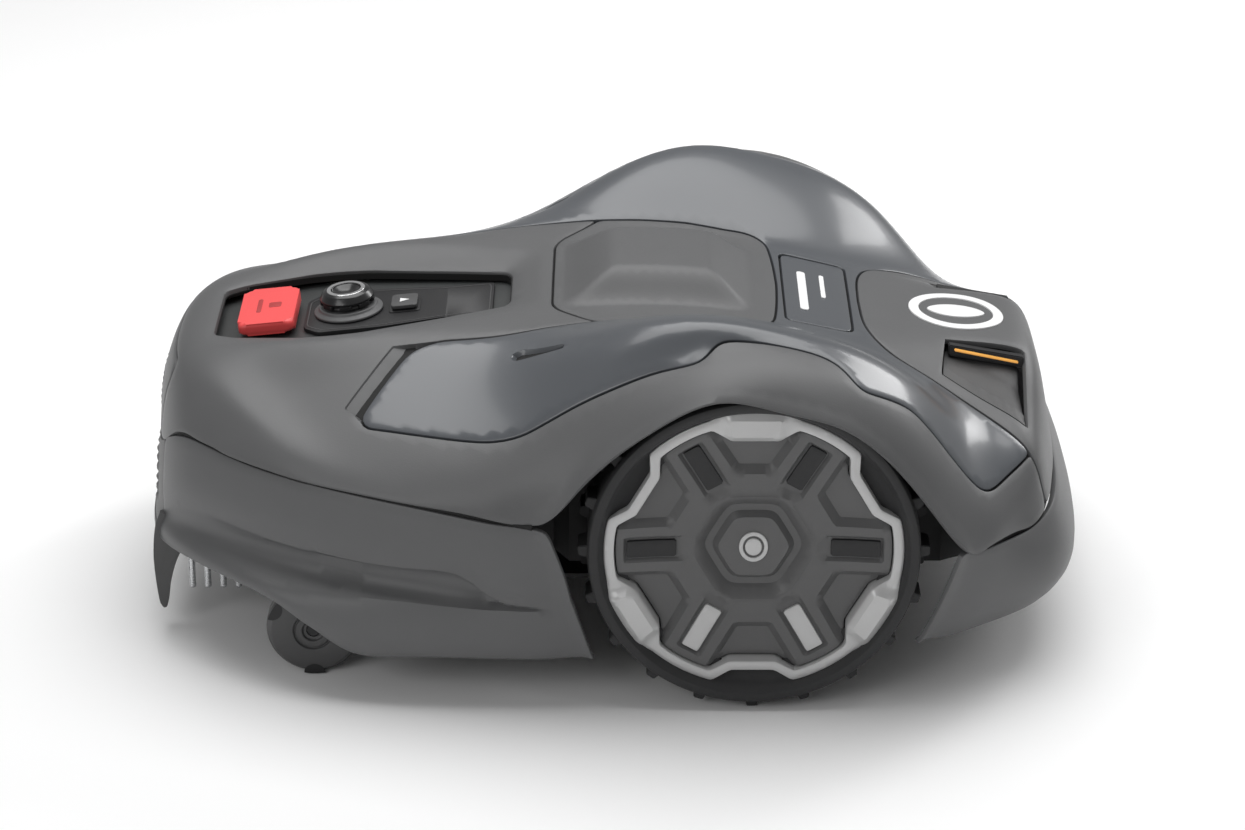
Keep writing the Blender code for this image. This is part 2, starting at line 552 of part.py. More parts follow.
def on_deck(points):
    """Parameters of plan points dropped straight down onto the deck."""
    marks = BODY.snap([(x, y, 0.195) for x, y in points])
    goal = np.array(points, dtype=float)
    for _ in range(8):
        here = BODY.points(marks[:, 0], marks[:, 1])
        ds, dq, _n = BODY.frames(marks[:, 0], marks[:, 1])
        for k in range(len(marks)):
            slope = np.stack((ds[k, :2], dq[k, :2]), axis=1)
            marks[k] += np.linalg.solve(slope, goal[k] - here[k, :2])
    return marks


def mirrored(half):
    """Plan outline closed with its mirror image across the centre plane."""
    return list(half) + [(x, -y) for x, y in reversed(half)]


CONSOLE = mirrored(CONSOLE_HALF)
RIM = mirrored(RIM_HALF)


def away(outline, x, y):
    """Distance from a point to a closed plan outline."""
    a = np.array(outline, dtype=float)
    run = np.roll(a, -1, axis=0) - a
    t = np.clip(((np.array((x, y)) - a) * run).sum(axis=1) / (run ** 2).sum(axis=1), 0.0, 1.0)
    return float(np.min(np.linalg.norm(a + run * t[:, None] - (x, y), axis=1)))


def dish(x, y, z):
    """The deck sinks from the rim round the console down to the edge of its opening."""
    if not inside(np.array(RIM), np.array([(x, y)]))[0]:
        return 0.0
    rim, lip = away(RIM, x, y), away(CONSOLE, x, y)
    edge_z = 0.1815 + (x + 0.2417) * 0.088
    share = rim / (rim + lip)
    return min(0.0, edge_z - z) * (0.75 * share + 0.25 * share ** 3)


def module_boss(x, y, _z):
    """Height of the soft-sided boss on the module cover."""
    along = max(0.0, (-0.002 - x) / 0.033, (x - 0.056) / 0.029)
    out = max(0.0, (abs(y) - 0.034) / 0.022)
    fall = min(1.0, (along ** 4 + out ** 4) ** 0.25)
    return 0.017 * (1 - 0.5 * fall - 0.5 * ramp(fall, 0, 1))


lip_end = BODY.snap([tuck((.213, .208, .107))])[0]
tail_foot = BODY.snap([tuck((.266, .148, .1125))])[0]
NOSE_Q = 2.35
shell_half = traced(BODY, (
    ("grid", ((1.95, 0.0), (1.95, NOSE_Q - 0.3), (1.6, NOSE_Q), (0.0, NOSE_Q))),
    ("grid", ((0.0, NOSE_Q), (0.0, 9.2))),
    ("grid", ((0.35, 11.0), (8.0, 11.0))),
    ("grid", ((8.0, 11.0), (lip_end[0], 11.0))),
    ("grid", ((lip_end[0], 11.0), (tail_foot[0], 11.0))),
    ("grid", ((tail_foot[0], 11.0), tuple(tail_foot))),
    ("straight", TAIL_SEAM[::-1]),
    ("free", FENDER_SEAM[::-1]),
    ("free", FENDER_NOSE),
    ("free", DECK_SEAM),
    ("straight", MODULE_NOSE)))

# ---------------------------------------------------------------- covers
top_shell = patch("top_shell", "cover", BODY, both_sides(shell_half), [on_deck(CONSOLE)], bump=dish)

fender_half = traced(BODY, (
    ("free", MODULE_TAIL[::-1]), ("straight", MODULE_SIDE[::-1]), ("free", DECK_SEAM[::-1]),
    ("free", FENDER_NOSE[::-1]), ("free", FENDER_SEAM), ("free", REAR_SEAM[::-1])))
fender_cover = patch("fender_cover", "gloss", BODY, both_sides(fender_half),
                     [on_deck(rounded(PLATE, .005, 2))])

module_half = traced(BODY, (
    ("straight", MODULE_NOSE[::-1]), ("straight", MODULE_SIDE), ("free", MODULE_TAIL)))
module_cover = patch("module_cover", "cover", BODY, both_sides(module_half), step=0.016, bump=module_boss)

label_plate = patch("label_plate", "gloss", BODY, on_deck(rounded(PLATE, .005, 2)), step=0.03)

LAMP = ((.2075, .0455), (.257, .0440), (.2535, .1215), (.2030, .0860))


def lamp_depth(x, y, _z):
    """The dark face sinks under the lamp bar and comes up to the skin at its outer edge."""
    reach = 0.087 + (x - 0.2045) * 0.62
    return -0.0072 * min(1.0, max(0.0, (reach - abs(y)) / 0.030)) - 0.0004


lamp_loops = {1: on_deck([tuck((x, y, 0))[:2] for x, y in LAMP])}
lamp_loops[-1] = lamp_loops[1] * (1.0, -1.0)
rear_half = traced(BODY, (
    ("free", REAR_SEAM), ("straight", TAIL_SEAM), ("grid", (tuple(tail_foot), (18.93, 6.0), (18.95, 0.0)))))
rear_cover = patch("rear_cover", "cover", BODY, both_sides(rear_half), [lamp_loops[1], lamp_loops[-1]])

SIDES = (("left", -1), ("right", 1))
for side, sign in SIDES:
    patch(side + "_marker_light", "black", BODY, lamp_loops[sign], step=0.02, bump=lamp_depth)
    bar = ((.2100, .1736), (.2540, .1698), (.2540, .1745), (.2100, .1783))
    prism(side + "_lamp_bar", "amber", bar, sign * .0466, sign * .0500, axis="Y")

EMBLEM = [(.217 + .032 * math.cos(a), .031 * math.sin(a)) for a in np.linspace(0, 2 * math.pi, 20)[:-1]]
patch("rear_emblem", "white", BODY, on_deck(EMBLEM), step=0.02, skin=0.0008, gap=0.0,
      bump=lambda x, y, z: 0.0012)

belt_row = FRONT.s_max
skirt_end = FRONT.q_max
nose_cut = 2.6
front_half = traced(FRONT, (
    ("grid", ((1.2, 0.0), (1.2, nose_cut), (belt_row, nose_cut))),
    ("grid", ((belt_row, nose_cut), (belt_row, skirt_end))),
    ("grid", ((belt_row, skirt_end), (0.0, skirt_end))),
    ("grid", ((0.0, skirt_end), (0.0, 0.0)))))
front_bumper = patch("front_bumper", "cover", FRONT, both_sides(front_half))
rear_loop = traced(REAR, (
    ("grid", ((0.0, 0.0), (0.0, REAR.q_max))), ("grid", ((0.0, REAR.q_max), (REAR.s_max, REAR.q_max))),
    ("grid", ((REAR.s_max, REAR.q_max), (REAR.s_max, 0.0)))))
rear_bumper = patch("rear_bumper", "cover", REAR, both_sides(rear_loop))

nose_half = traced(BODY, (
    ("grid", ((0.0, 0.0), (0.0, NOSE_Q))),
    ("grid", ((0.0, NOSE_Q), (1.6, NOSE_Q), (1.95, NOSE_Q - 0.3), (1.95, 0.0)))))
nose_plate = patch("nose_plate", "cover", BODY, both_sides(nose_half))
insert_half = traced(FRONT, (
    ("grid", ((belt_row, 0.0), (belt_row, nose_cut), (1.2, nose_cut), (1.2, 0.0))),))
nose_insert = patch("nose_insert", "black", FRONT, both_sides(insert_half))

# ---------------------------------------------------------------- chassis
def extra(kind, low, high, bevel=0.0):
    return block("tool", kind, low, high, bevel)


def cylinder(name, kind, radius, low, high, axis, centre, segments=24, origin=None):
    """Plain round bar between two offsets along one axis through the centre."""
    return lathe(name, kind, ((0, low), (radius, low), (radius, high), (0, high)), axis, centre,
                 segments, origin=origin)


PAN_PLAN = mirrored(((-.258, .050), (-.246, .070), (-.224, .078), (-.214, .100), (-.196, .118), (-.040, .118),
                     (-.030, .136), (.200, .136), (.232, .118), (.246, .090), (.252, .050)))
PAN_INNER = mirrored(((-.254, .049), (-.243, .0665), (-.221, .0745), (-.210, .0975), (-.195, .114), (-.037, .114),
                      (-.027, .132), (.198, .132), (.229, .115), (.242, .088), (.248, .049)))
chassis_pan = prism("chassis_pan", "black", PAN_PLAN, .0700, .1350)
boolean(chassis_pan, prism("tool", "black", PAN_INNER, .0735, .1400))
for side, sign in SIDES:
    ear = [(x, y * sign) for x, y in ((-.211, .090), (-.2125, .137), (-.2085, .1465), (-.2035, .1495),
                                      (-.196, .1495), (-.1895, .143), (-.184, .090))]
    boolean(chassis_pan, prism("tool", "black", ear, .0700, .0820), "UNION")
    boolean(chassis_pan, cylinder("tool", "black", .0056, .060, .090, "Z",
                                  (CASTER_X, sign * CASTER_Y, 0), 16))
    boolean(chassis_pan, cylinder("tool", "black", .0125, .125, .145, "Y",
                                  (WHEEL_X, 0, WHEEL_Z), 16, ) if sign > 0 else
            cylinder("tool", "black", .0125, -.145, -.125, "Y", (WHEEL_X, 0, WHEEL_Z), 16))
boolean(chassis_pan, cylinder("tool", "black", .0412, .060, .090, "Z", (CUT_X, 0, 0), 32))

cover_plan = mirrored(((-.252, .058), (-.244, .084), (-.224, .104), (-.198, .113), (-.036, .113),
                       (-.026, .131), (.196, .131), (.226, .114), (.240, .088), (.246, .049)))
CONSOLE_FALL = 0.103


def console_z(x):
    """Height of the sloping console floor."""
    return 0.1715 + (x + 0.245) * CONSOLE_FALL


chassis_cover = prism("chassis_cover", "black", cover_plan, .1354, .1395)
TOWER = ((-.266, .137), (-.266, console_z(-.266)), (-.060, console_z(-.060)), (-.040, .1840),
         (.095, .1840), (.110, .170), (.110, .137))
boolean(chassis_cover, prism("tool", "black", TOWER, -.058, .058, axis="Y"), "UNION")
HOLLOW = ((-.262, .120), (-.262, console_z(-.262) - .004), (-.060, console_z(-.060) - .004),
          (-.040, .1800), (.093, .1800), (.106, .168), (.106, .120))
boolean(chassis_cover, prism("tool", "black", HOLLOW, -.054, .054, axis="Y"))

UNDER_PLAN = mirrored(((-.180, .070), (-.160, .098), (-.120, .112), (-.040, .112), (-.010, .130),
                       (.180, .130), (.205, .110), (.212, .060)))
bottom_cover = prism("bottom_cover", "black", UNDER_PLAN, .0655, .0696)
boolean(bottom_cover, cylinder("tool", "black", .052, .060, .080, "Z", (CUT_X, 0, 0), 32))

block("battery_pack", "battery", (.128, -.062, .0739), (.218, .062, .1180), .004)
board = block("main_board", "board", (-.220, -.048, .0739), (-.100, .048, .0759))
boolean(board, extra("board", (-.190, -.030, .0750), (-.140, .024, .0880)), "UNION")
block("height_motor", "black", (.040, -.013, .0739), (.066, .013, .1050), .002)
for side, sign in SIDES:
    low, high = sorted((sign * .068, sign * .1240))
    gear = cylinder(side + "_wheel_motor", "black", .0265, low, high, "Y", (WHEEL_X, 0, WHEEL_Z), 24)
    feet = sorted((sign * .075, sign * .115))
    boolean(gear, extra("black", (WHEEL_X - .020, feet[0], .0739), (WHEEL_X + .020, feet[1], .0900)), "UNION")
    low, high = sorted((sign * .1230, sign * .1365))
    boolean(gear, cylinder("tool", "black", .0080, low, high, "Y", (WHEEL_X, 0, WHEEL_Z), 16), "UNION")

# ---------------------------------------------------------------- driven wheels
def make_tyre(name, sign):
    """Tyre ring with two staggered rows of square lugs."""
    section = ((.0890, TYRE_IN + .002), (.0970, TYRE_IN), (TYRE_R, TYRE_IN + .0035), (TYRE_R, .1970),
               (.0985, TYRE_OUT - .0006), (.0940, TYRE_OUT), (.0905, TYRE_OUT - .006), (.0890, .1890))
    tyre = lathe(name, "rubber", [(r, sign * y) for r, y in section], "Y", (WHEEL_X, 0, WHEEL_Z), 40,
                 origin=(WHEEL_X, sign * .178, WHEEL_Z))
    lugs = bmesh.new()
    for k in range(2 * LUGS):
        spin = Matrix.Translation((WHEEL_X, 0, WHEEL_Z)) @ Matrix.Rotation(math.pi * k / LUGS, 4, "Y")
        y = sign * (.1868 if k % 2 == 0 else .1652)
        made = bmesh.ops.create_cube(lugs, size=1.0)["verts"]
        for vert in made:
            vert.co = spin @ Vector((vert.co.x * .0080, y + vert.co.y * .0195,
                                     -(.0975 + LUG_R) / 2 + vert.co.z * (LUG_R - .0975)))
    boolean(tyre, finish("tool", lugs, "rubber"), "UNION")
    return shade_round(tyre, 0.5)


def round_wheel(name, kind, rows, sign, segments):
    """Turned wheel part; each row is (radius as a function of angle, offset outwards)."""
    mesh = bmesh.new()
    ring = []
    for k in range(segments):
        angle = 2 * math.pi * k / segments + math.pi / 2
        ring.append([mesh.verts.new((WHEEL_X + r(angle) * math.cos(angle), sign * y(angle),
                                     WHEEL_Z + r(angle) * math.sin(angle))) for r, y in rows])
    for k in range(segments):
        a, b = ring[k], ring[(k + 1) % segments]
        for j in range(len(rows)):
            n = (j + 1) % len(rows)
            mesh.faces.new((a[j], b[j], b[n], a[n]))
    bmesh.ops.remove_doubles(mesh, verts=mesh.verts, dist=1e-6)
    for face in [f for f in mesh.faces if f.calc_area() < 1e-12]:
        mesh.faces.remove(face)
    return shade_round(finish(name, mesh, kind, (WHEEL_X, sign * .178, WHEEL_Z)))


def fixed(value):
    return lambda angle: value


def wave(angle):
    """Goes from 1 at the raised pads (up, lower left, lower right) to 0 at the three steps."""
    return min(1.0, max(0.0, 0.5 + 1.35 * math.cos(3 * (angle - math.pi / 2))))


def trim_inner(angle):
    return 0.0835 - 0.0105 * max(0.0, math.cos(3 * (angle - math.pi / 2)) ** 3) \
        - 0.0065 * max(0.0, -math.cos(3 * (angle - math.pi / 2))) ** 3


def trim_outer(angle):
    return 0.0880 - 0.0035 * max(0.0, -math.cos(3 * (angle - math.pi / 2))) ** 3


def cap_outer(angle):
    return trim_inner(angle) - 0.0006


def cap_face(angle):
    """Six spokes stand proud of six pockets."""
    return 0.1945 + 0.0030 * max(0.0, math.cos(6 * angle))


for side, sign in SIDES:
    make_tyre(side + "_tyre", sign)
    round_wheel(side + "_rim", "black", (
        (fixed(.0095), fixed(.1380)), (fixed(.0200), fixed(.1380)), (fixed(.0240), fixed(.1600)),
        (fixed(.0840), fixed(.1620)), (fixed(.0885), fixed(.1560)), (fixed(.0885), fixed(.1860)),
        (fixed(.0700), fixed(.1860)), (fixed(.0095), fixed(.1860))), sign, 24)
    round_wheel(side + "_rim_trim", "silver", (
        (trim_outer, fixed(.1864)), (lambda a: trim_outer(a) + .0005 * wave(a), lambda a: .1995 + .0015 * wave(a)),
        (lambda a: trim_inner(a) + .003, lambda a: .2000 + .0015 * wave(a)),
        (trim_inner, lambda a: .1975), (trim_inner, fixed(.1864))), sign, 48)
    round_wheel(side + "_hub_cap", "cover", (
        (cap_outer, fixed(.1864)), (cap_outer, fixed(.1955)), (fixed(.0700), cap_face),
        (fixed(.0450), cap_face), (fixed(.0320), fixed(.1980)), (fixed(.0230), fixed(.1960)),
        (fixed(.0190), fixed(.1975)), (fixed(.0000), fixed(.1975)), (fixed(.0000), fixed(.1864))), sign, 48)

# ---------------------------------------------------------------- front casters
for side, sign in SIDES:
    at = (CASTER_X, sign * CASTER_Y, 0)
    fork = cylinder(side + "_caster_fork", "black", .0110, .0620, .0690, "Z", at, 20)
    boolean(fork, cylinder("tool", "black", .0052, .0680, .0860, "Z", at, 16), "UNION")
    reach = sorted((sign * (CASTER_Y - .0125), sign * (CASTER_Y - .0175)))
    arm = ((CASTER_X - .008, .0660), (CASTER_X + .009, .0660), (CASTER_X + CASTER_TRAIL + .007, .0295),
           (CASTER_X + CASTER_TRAIL, .0225), (CASTER_X + CASTER_TRAIL - .007, .0295))
    boolean(fork, prism("tool", "black", arm, reach[0], reach[1], axis="Y"), "UNION")
    bridge = sorted((sign * (CASTER_Y - .0175), sign * CASTER_Y))
    boolean(fork, extra("black", (CASTER_X - .008, bridge[0], .0625), (CASTER_X + .009, bridge[1], .0685)),
            "UNION")
    axle = sorted((sign * (CASTER_Y - .0130), sign * (CASTER_Y + .0085)))
    boolean(fork, cylinder("tool", "black", .0040, axle[0], axle[1], "Y",
                           (CASTER_X + CASTER_TRAIL, 0, CASTER_R), 12), "UNION")
    middle = (CASTER_X + CASTER_TRAIL, sign * CASTER_Y, CASTER_R)
    lathe(side + "_caster_wheel", "rubber", (
        (.0045, -CASTER_HALF * sign), (.0200, -CASTER_HALF * sign), (.0255, -CASTER_HALF * sign),
        (CASTER_R, -.0055 * sign), (CASTER_R, .0055 * sign), (.0255, CASTER_HALF * sign),
        (.0125, CASTER_HALF * sign), (.0110, .0088 * sign), (.0045, .0088 * sign)), "Y", middle, 24)

# ---------------------------------------------------------------- cutting unit
carriage = lathe("cutter_carriage", "black", (
    (.0080, .0440), (.0400, .0440), (.0400, .1100), (.0370, .1100), (.0370, .0480), (.0080, .0480)),
    "Z", (CUT_X, 0, 0), 32, origin=(CUT_X, 0, .044))
boolean(carriage, extra("black", (CUT_X + .0380, -.009, .1020), (CUT_X + .0640, .009, .1090)), "UNION")
boolean(carriage, cylinder("tool", "black", .0046, .090, .120, "Z", (CUT_X + .056, 0, 0), 16))
cylinder("height_screw", "steel", .0040, .0739, .1330, "Z", (CUT_X + .056, 0, 0), 16)
lathe("cutter_motor", "steel", ((0, .0484), (.030, .0484), (.030, .0980), (.024, .1010), (0, .1010)),
      "Z", (CUT_X, 0, 0), 28)
disc = lathe("blade_disc", "cover", (
    (0, BLADE_Z + .001), (.060, BLADE_Z + .001), (DISC_R, BLADE_Z + .002), (DISC_R, BLADE_Z + .0045),
    (.030, BLADE_Z + .0060), (.0070, BLADE_Z + .0075), (.0070, .0480), (0, .0480)), "Z",
    (CUT_X, 0, 0), 28)
for k in range(3):
    angle = math.radians(90 + 120 * k)
    pivot = Vector((CUT_X + .069 * math.cos(angle), .069 * math.sin(angle), 0))
    plan = [(-.006, -.009), (.030, -.009), (.034, -.006), (.034, .006), (.030, .009), (-.006, .009)]
    turned = [(pivot.x + a * math.cos(angle) - b * math.sin(angle),
               pivot.y + a * math.sin(angle) + b * math.cos(angle)) for a, b in plan]
    blade = prism("blade_%d" % (k + 1), "steel", turned, BLADE_Z - .0010, BLADE_Z - .0002,
                  origin=(pivot.x, pivot.y, BLADE_Z))
    boolean(blade, cylinder("tool", "steel", .0030, 0, .05, "Z", pivot, 12))
    lathe("blade_screw_%d" % (k + 1), "steel", (
        (0, BLADE_Z - .0042), (.0045, BLADE_Z - .0042), (.0045, BLADE_Z - .0014),
        (.0026, BLADE_Z - .0014), (.0026, BLADE_Z + .0006), (0, BLADE_Z + .0006)), "Z", pivot, 12)
lathe("skid_plate", "cover", (
    (0, .0165), (.050, .0165), (.054, .0180), (.054, .0205), (.020, .0215), (.018, BLADE_Z + .0006),
    (0, BLADE_Z + .0006)), "Z", (CUT_X, 0, 0), 24)

# ---------------------------------------------------------------- floating suspension of the covers
prism("float_frame", "black", ((-.165, .0625), (-.165, .0760), (.140, .0760), (.140, -.0760),
                               (-.165, -.0760), (-.165, -.0625), (.122, -.0625), (.122, .0625)),
      .1399, .1439)
for end, x, top in (("front", -.150, .1895), ("rear", .125, .1875)):
    for side, sign in SIDES:
        lathe(end + "_" + side + "_post", "rubber", (
            (0, .1443), (.0050, .1443), (.0056, .165), (.0046, top), (0, top)), "Z",
            (x, sign * .0690, 0), 10)

# ---------------------------------------------------------------- console
INSERT = ((-.200, -.022), (-.190, -.032), (-.150, -.032), (-.110, -.026), (-.078, -.026),
          (-.078, .026), (-.110, .026), (-.150, .032), (-.190, .032), (-.200, .022))


def tilted(obj):
    """Lay a piece modelled flat at z = 0 onto the sloping console floor."""
    pitch = math.atan(CONSOLE_FALL)
    turn = Matrix.Rotation(-pitch, 4, "Y")
    place = Matrix.Translation((-.245, 0, .1715)) @ turn @ Matrix.Translation((.245, 0, 0))
    local = Matrix.Translation(-obj.location)
    obj.data.transform(local @ place @ local.inverted())
    return obj


tilted(prism("console_insert", "black", INSERT, CLEAR, .0030))
tilted(block("stop_button", "red", (-.2410, -.0300, .0036), (-.2045, .0300, .0120), .0025))
tilted(lathe("dial_base", "black", ((0, .0034), (.0225, .0034), (.0225, .0050), (.0190, .0080), (0, .0080)),
             "Z", (-.172, 0, 0), 24))
tilted(lathe("jog_dial", "black", ((.0095, .0084), (.0160, .0084), (.0175, .0110), (.0160, .0165),
                                   (.0125, .0185), (.0095, .0185)), "Z", (-.172, 0, 0), 24))
tilted(lathe("dial_button", "black", ((0, .0100), (.0090, .0100), (.0090, .0180), (0, .0180)),
             "Z", (-.172, 0, 0), 20))
tilted(block("start_button", "black", (-.1440, -.0100, .0044), (-.1270, .0100, .0070), .0008))

# ---------------------------------------------------------------- front comb guards
for side, sign in SIDES:
    guard = block(side + "_comb_guard", "steel", (-.2790, sign * .0860 - .0020, .0560),
                  (-.2290, sign * .0860 + .0020, .0620))
    for k in range(5):
        x = -.2710 + k * .0098
        boolean(guard, extra("steel", (x - .0016, sign * .0860 - .0014, .0270),
                             (x + .0016, sign * .0860 + .0014, .0570)), "UNION")
    fin = ((-.2885, .0515), (-.2900, .0360), (-.2890, .0170), (-.2865, .0125), (-.2840, .0160),
           (-.2800, .0400), (-.2765, .0530), (-.2765, .0610), (-.2815, .0610), (-.2815, .0515))
    boolean(guard, prism("tool", "steel", fin, sign * .0830, sign * .0890, axis="Y"), "UNION")

# ---------------------------------------------------------------- origin under the middle of the length
MIDDLE = 0.0040
for obj in bpy.data.objects:
    obj.location.x += MIDDLE
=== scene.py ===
"""Looks of the robotic lawn mower: covers, wheels, console, lamps and underbody.

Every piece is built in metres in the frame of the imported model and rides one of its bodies.
The covers are fine patches of the master surfaces the frame was made from.
"""
import math
import bmesh
import bpy
import numpy as np
from mathutils import Matrix, Vector
from mathutils.geometry import delaunay_2d_cdt


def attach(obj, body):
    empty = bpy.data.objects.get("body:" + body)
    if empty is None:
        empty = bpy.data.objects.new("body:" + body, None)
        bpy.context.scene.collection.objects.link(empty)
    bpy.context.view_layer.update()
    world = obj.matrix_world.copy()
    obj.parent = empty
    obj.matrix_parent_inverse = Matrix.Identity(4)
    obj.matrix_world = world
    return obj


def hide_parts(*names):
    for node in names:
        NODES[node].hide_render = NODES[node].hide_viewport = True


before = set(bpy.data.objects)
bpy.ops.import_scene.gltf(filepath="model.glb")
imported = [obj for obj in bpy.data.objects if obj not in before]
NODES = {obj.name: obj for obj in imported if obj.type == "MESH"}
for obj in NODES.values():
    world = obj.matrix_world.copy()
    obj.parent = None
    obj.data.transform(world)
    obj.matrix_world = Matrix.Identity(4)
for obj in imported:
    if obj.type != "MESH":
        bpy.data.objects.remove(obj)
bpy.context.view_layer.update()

SIDES = (("left", -1), ("right", 1))

# ---------------------------------------------------------------- driving dimensions
GAP = 0.0006             # half of the seam between two covers
ROLL = 0.0011            # radius of a cover's rolled edge
SKIN = 0.0026            # wall of a cover
STEP = 0.0052            # mesh step of a cover
LIP_WIDTH = 0.0070       # outward band round the wheel arch
LIP_DEPTH = 0.0022       # how far that band stands out

WHEEL_X = 0.082          # axle of the driven wheels
WHEEL_Z = 0.106
CASTER_X = -0.203        # swivel axis of the casters
CASTER_Y = 0.143
CASTER_TRAIL = 0.014     # roller axle behind the swivel axis
CASTER_R = 0.0295
CONSOLE_FALL = 0.103
MIDDLE = 0.0040          # moves the tables' zero to the middle of the length

# ---------------------------------------------------------------- master body surface
# Each station is one cross-section from the centre line out to the belt / wheel-arch lip.
# Rows: centre, deck, console edge, shoulder, deck edge, inner slope, crest, outer crest,
#       fender seam, arch crease, rim edge, lip.
STATIONS = (
    ((-.2945, .000, .117), (-.2935, .030, .117), (-.291, .052, .119), (-.288, .068, .121),
     (-.284, .0825, .127), (-.2775, .0940, .1380), (-.2705, .1040, .1430), (-.2645, .1115, .1432),
     (-.2595, .1175, .1428), (-.2550, .1222, .1426), (-.2520, .1255, .1424), (-.2497, .1278, .1422)),
    ((-.2925, .000, .148), (-.2915, .030, .148), (-.288, .053, .149), (-.284, .070, .150),
     (-.278, .085, .152), (-.271, .097, .153), (-.263, .107, .153), (-.255, .116, .152),
     (-.248, .124, .150), (-.243, .131, .1475), (-.240, .136, .1450), (-.238, .139, .1412)),
    ((-.2835, .000, .173), (-.2825, .030, .173), (-.279, .052, .173), (-.274, .068, .172),
     (-.267, .083, .171), (-.258, .096, .168), (-.249, .109, .165), (-.240, .121, .161),
     (-.231, .132, .157), (-.223, .143, .152), (-.217, .150, .146), (-.214, .155, .1398)),
    ((-.264, .000, .181), (-.264, .030, .181), (-.261, .052, .181), (-.257, .070, .180),
     (-.250, .086, .178), (-.241, .101, .175), (-.231, .115, .171), (-.221, .129, .166),
     (-.211, .142, .160), (-.202, .154, .153), (-.196, .162, .146), (-.193, .168, .1387)),
    ((-.236, .000, .183), (-.236, .030, .183), (-.235, .052, .185), (-.231, .068, .1865),
     (-.225, .084, .180), (-.217, .100, .172), (-.208, .115, .167), (-.198, .131, .162),
     (-.187, .146, .157), (-.177, .160, .151), (-.171, .170, .145), (-.168, .178, .1377)),
    ((-.200, .000, .186), (-.200, .030, .186), (-.200, .052, .188), (-.198, .070, .1965),
     (-.193, .087, .1885), (-.187, .104, .178), (-.180, .120, .172), (-.172, .136, .166),
     (-.163, .152, .159), (-.153, .168, .151), (-.148, .179, .144), (-.144, .187, .1367)),
    ((-.160, .000, .190), (-.160, .030, .190), (-.160, .052, .192), (-.160, .072, .200),
     (-.157, .088, .196), (-.153, .105, .187), (-.148, .122, .180), (-.142, .139, .172),
     (-.134, .156, .164), (-.125, .175, .153), (-.120, .188, .143), (-.118, .195, .1344)),
    ((-.112, .000, .196), (-.112, .030, .196), (-.112, .052, .198), (-.112, .073, .2025),
     (-.111, .089, .199), (-.109, .106, .1925), (-.106, .124, .1845), (-.102, .144, .1755),
     (-.096, .164, .1665), (-.090, .185, .156), (-.086, .199, .142), (-.084, .202, .1318)),
    ((-.062, .000, .203), (-.062, .030, .203), (-.062, .052, .204), (-.062, .073, .205),
     (-.062, .091, .205), (-.061, .108, .203), (-.060, .126, .1985), (-.058, .150, .1885),
     (-.055, .174, .175), (-.050, .195, .158), (-.046, .206, .1370), (-.0405, .209, .1195)),
    ((-.022, .000, .209), (-.022, .030, .209), (-.022, .052, .209), (-.022, .072, .209),
     (-.022, .089, .210), (-.022, .112, .217), (-.022, .137, .2195), (-.020, .159, .209),
     (-.018, .177, .194), (-.018, .198, .173), (-.019, .208, .1635), (-.0215, .2105, .1620)),
    ((.018, .000, .210), (.018, .030, .210), (.018, .052, .210), (.018, .070, .210),
     (.018, .0845, .211), (.018, .112, .226), (.018, .149, .2395), (.018, .163, .2285),
     (.018, .174, .211), (.018, .198, .204), (.0165, .2075, .1945), (.0150, .210, .1860)),
    ((.058, .000, .208), (.058, .030, .208), (.058, .052, .208), (.058, .068, .208),
     (.058, .0795, .209), (.058, .112, .227), (.058, .156, .2445), (.058, .164, .237),
     (.058, .169, .228), (.058, .193, .2250), (.058, .2085, .2205), (.058, .211, .2160)),
    ((.098, .000, .201), (.098, .030, .201), (.098, .052, .201), (.098, .066, .202),
     (.098, .075, .2035), (.098, .110, .221), (.098, .155, .2350), (.098, .161, .2300),
     (.098, .167, .2305), (.098, .189, .2255), (.098, .2050, .2135), (.098, .211, .2010)),
    ((.138, .000, .192), (.138, .030, .192), (.138, .052, .192), (.138, .066, .192),
     (.138, .0755, .192), (.138, .110, .208), (.138, .150, .2240), (.138, .161, .2190),
     (.138, .174, .2152), (.138, .190, .2113), (.138, .205, .2025), (.138, .2105, .1958)),
    ((.178, .000, .185), (.178, .030, .185), (.178, .052, .184), (.178, .068, .182),
     (.178, .0785, .179), (.178, .108, .183), (.178, .144, .2020), (.178, .162, .1980),
     (.178, .181, .190), (.178, .198, .180), (.177, .2075, .1675), (.176, .210, .1570)),
    ((.216, .000, .181), (.216, .030, .181), (.216, .048, .180), (.216, .068, .176),
     (.215, .088, .171), (.214, .114, .166), (.213, .142, .161), (.212, .160, .155),
     (.212, .176, .145), (.212, .192, .133), (.212, .203, .118), (.213, .2085, .1005)),
    ((.244, .000, .179), (.244, .030, .179), (.244, .048, .178), (.242, .071, .173),
     (.241, .097, .167), (.240, .122, .160), (.239, .143, .152), (.237, .157, .144),
     (.235, .168, .135), (.232, .179, .126), (.229, .188, .117), (.226, .194, .108)),
    ((.266, .000, .172), (.266, .030, .172), (.265, .050, .170), (.262, .073, .167),
     (.259, .097, .162), (.257, .118, .156), (.256, .136, .149), (.254, .149, .141),
     (.251, .159, .133), (.247, .167, .125), (.243, .174, .117), (.239, .180, .108)),
    ((.271, .000, .148), (.271, .030, .148), (.2705, .052, .147), (.269, .074, .146),
     (.2675, .095, .144), (.2655, .114, .141), (.264, .130, .137), (.2615, .143, .132),
     (.2585, .153, .127), (.255, .161, .121), (.251, .168, .115), (.247, .173, .108)),
    ((.2775, .000, .112), (.2775, .030, .112), (.277, .052, .112), (.276, .074, .112),
     (.2745, .094, .112), (.272, .112, .112), (.270, .127, .112), (.2675, .139, .112),
     (.265, .149, .111), (.262, .157, .110), (.258, .164, .109), (.253, .169, .107)),
)
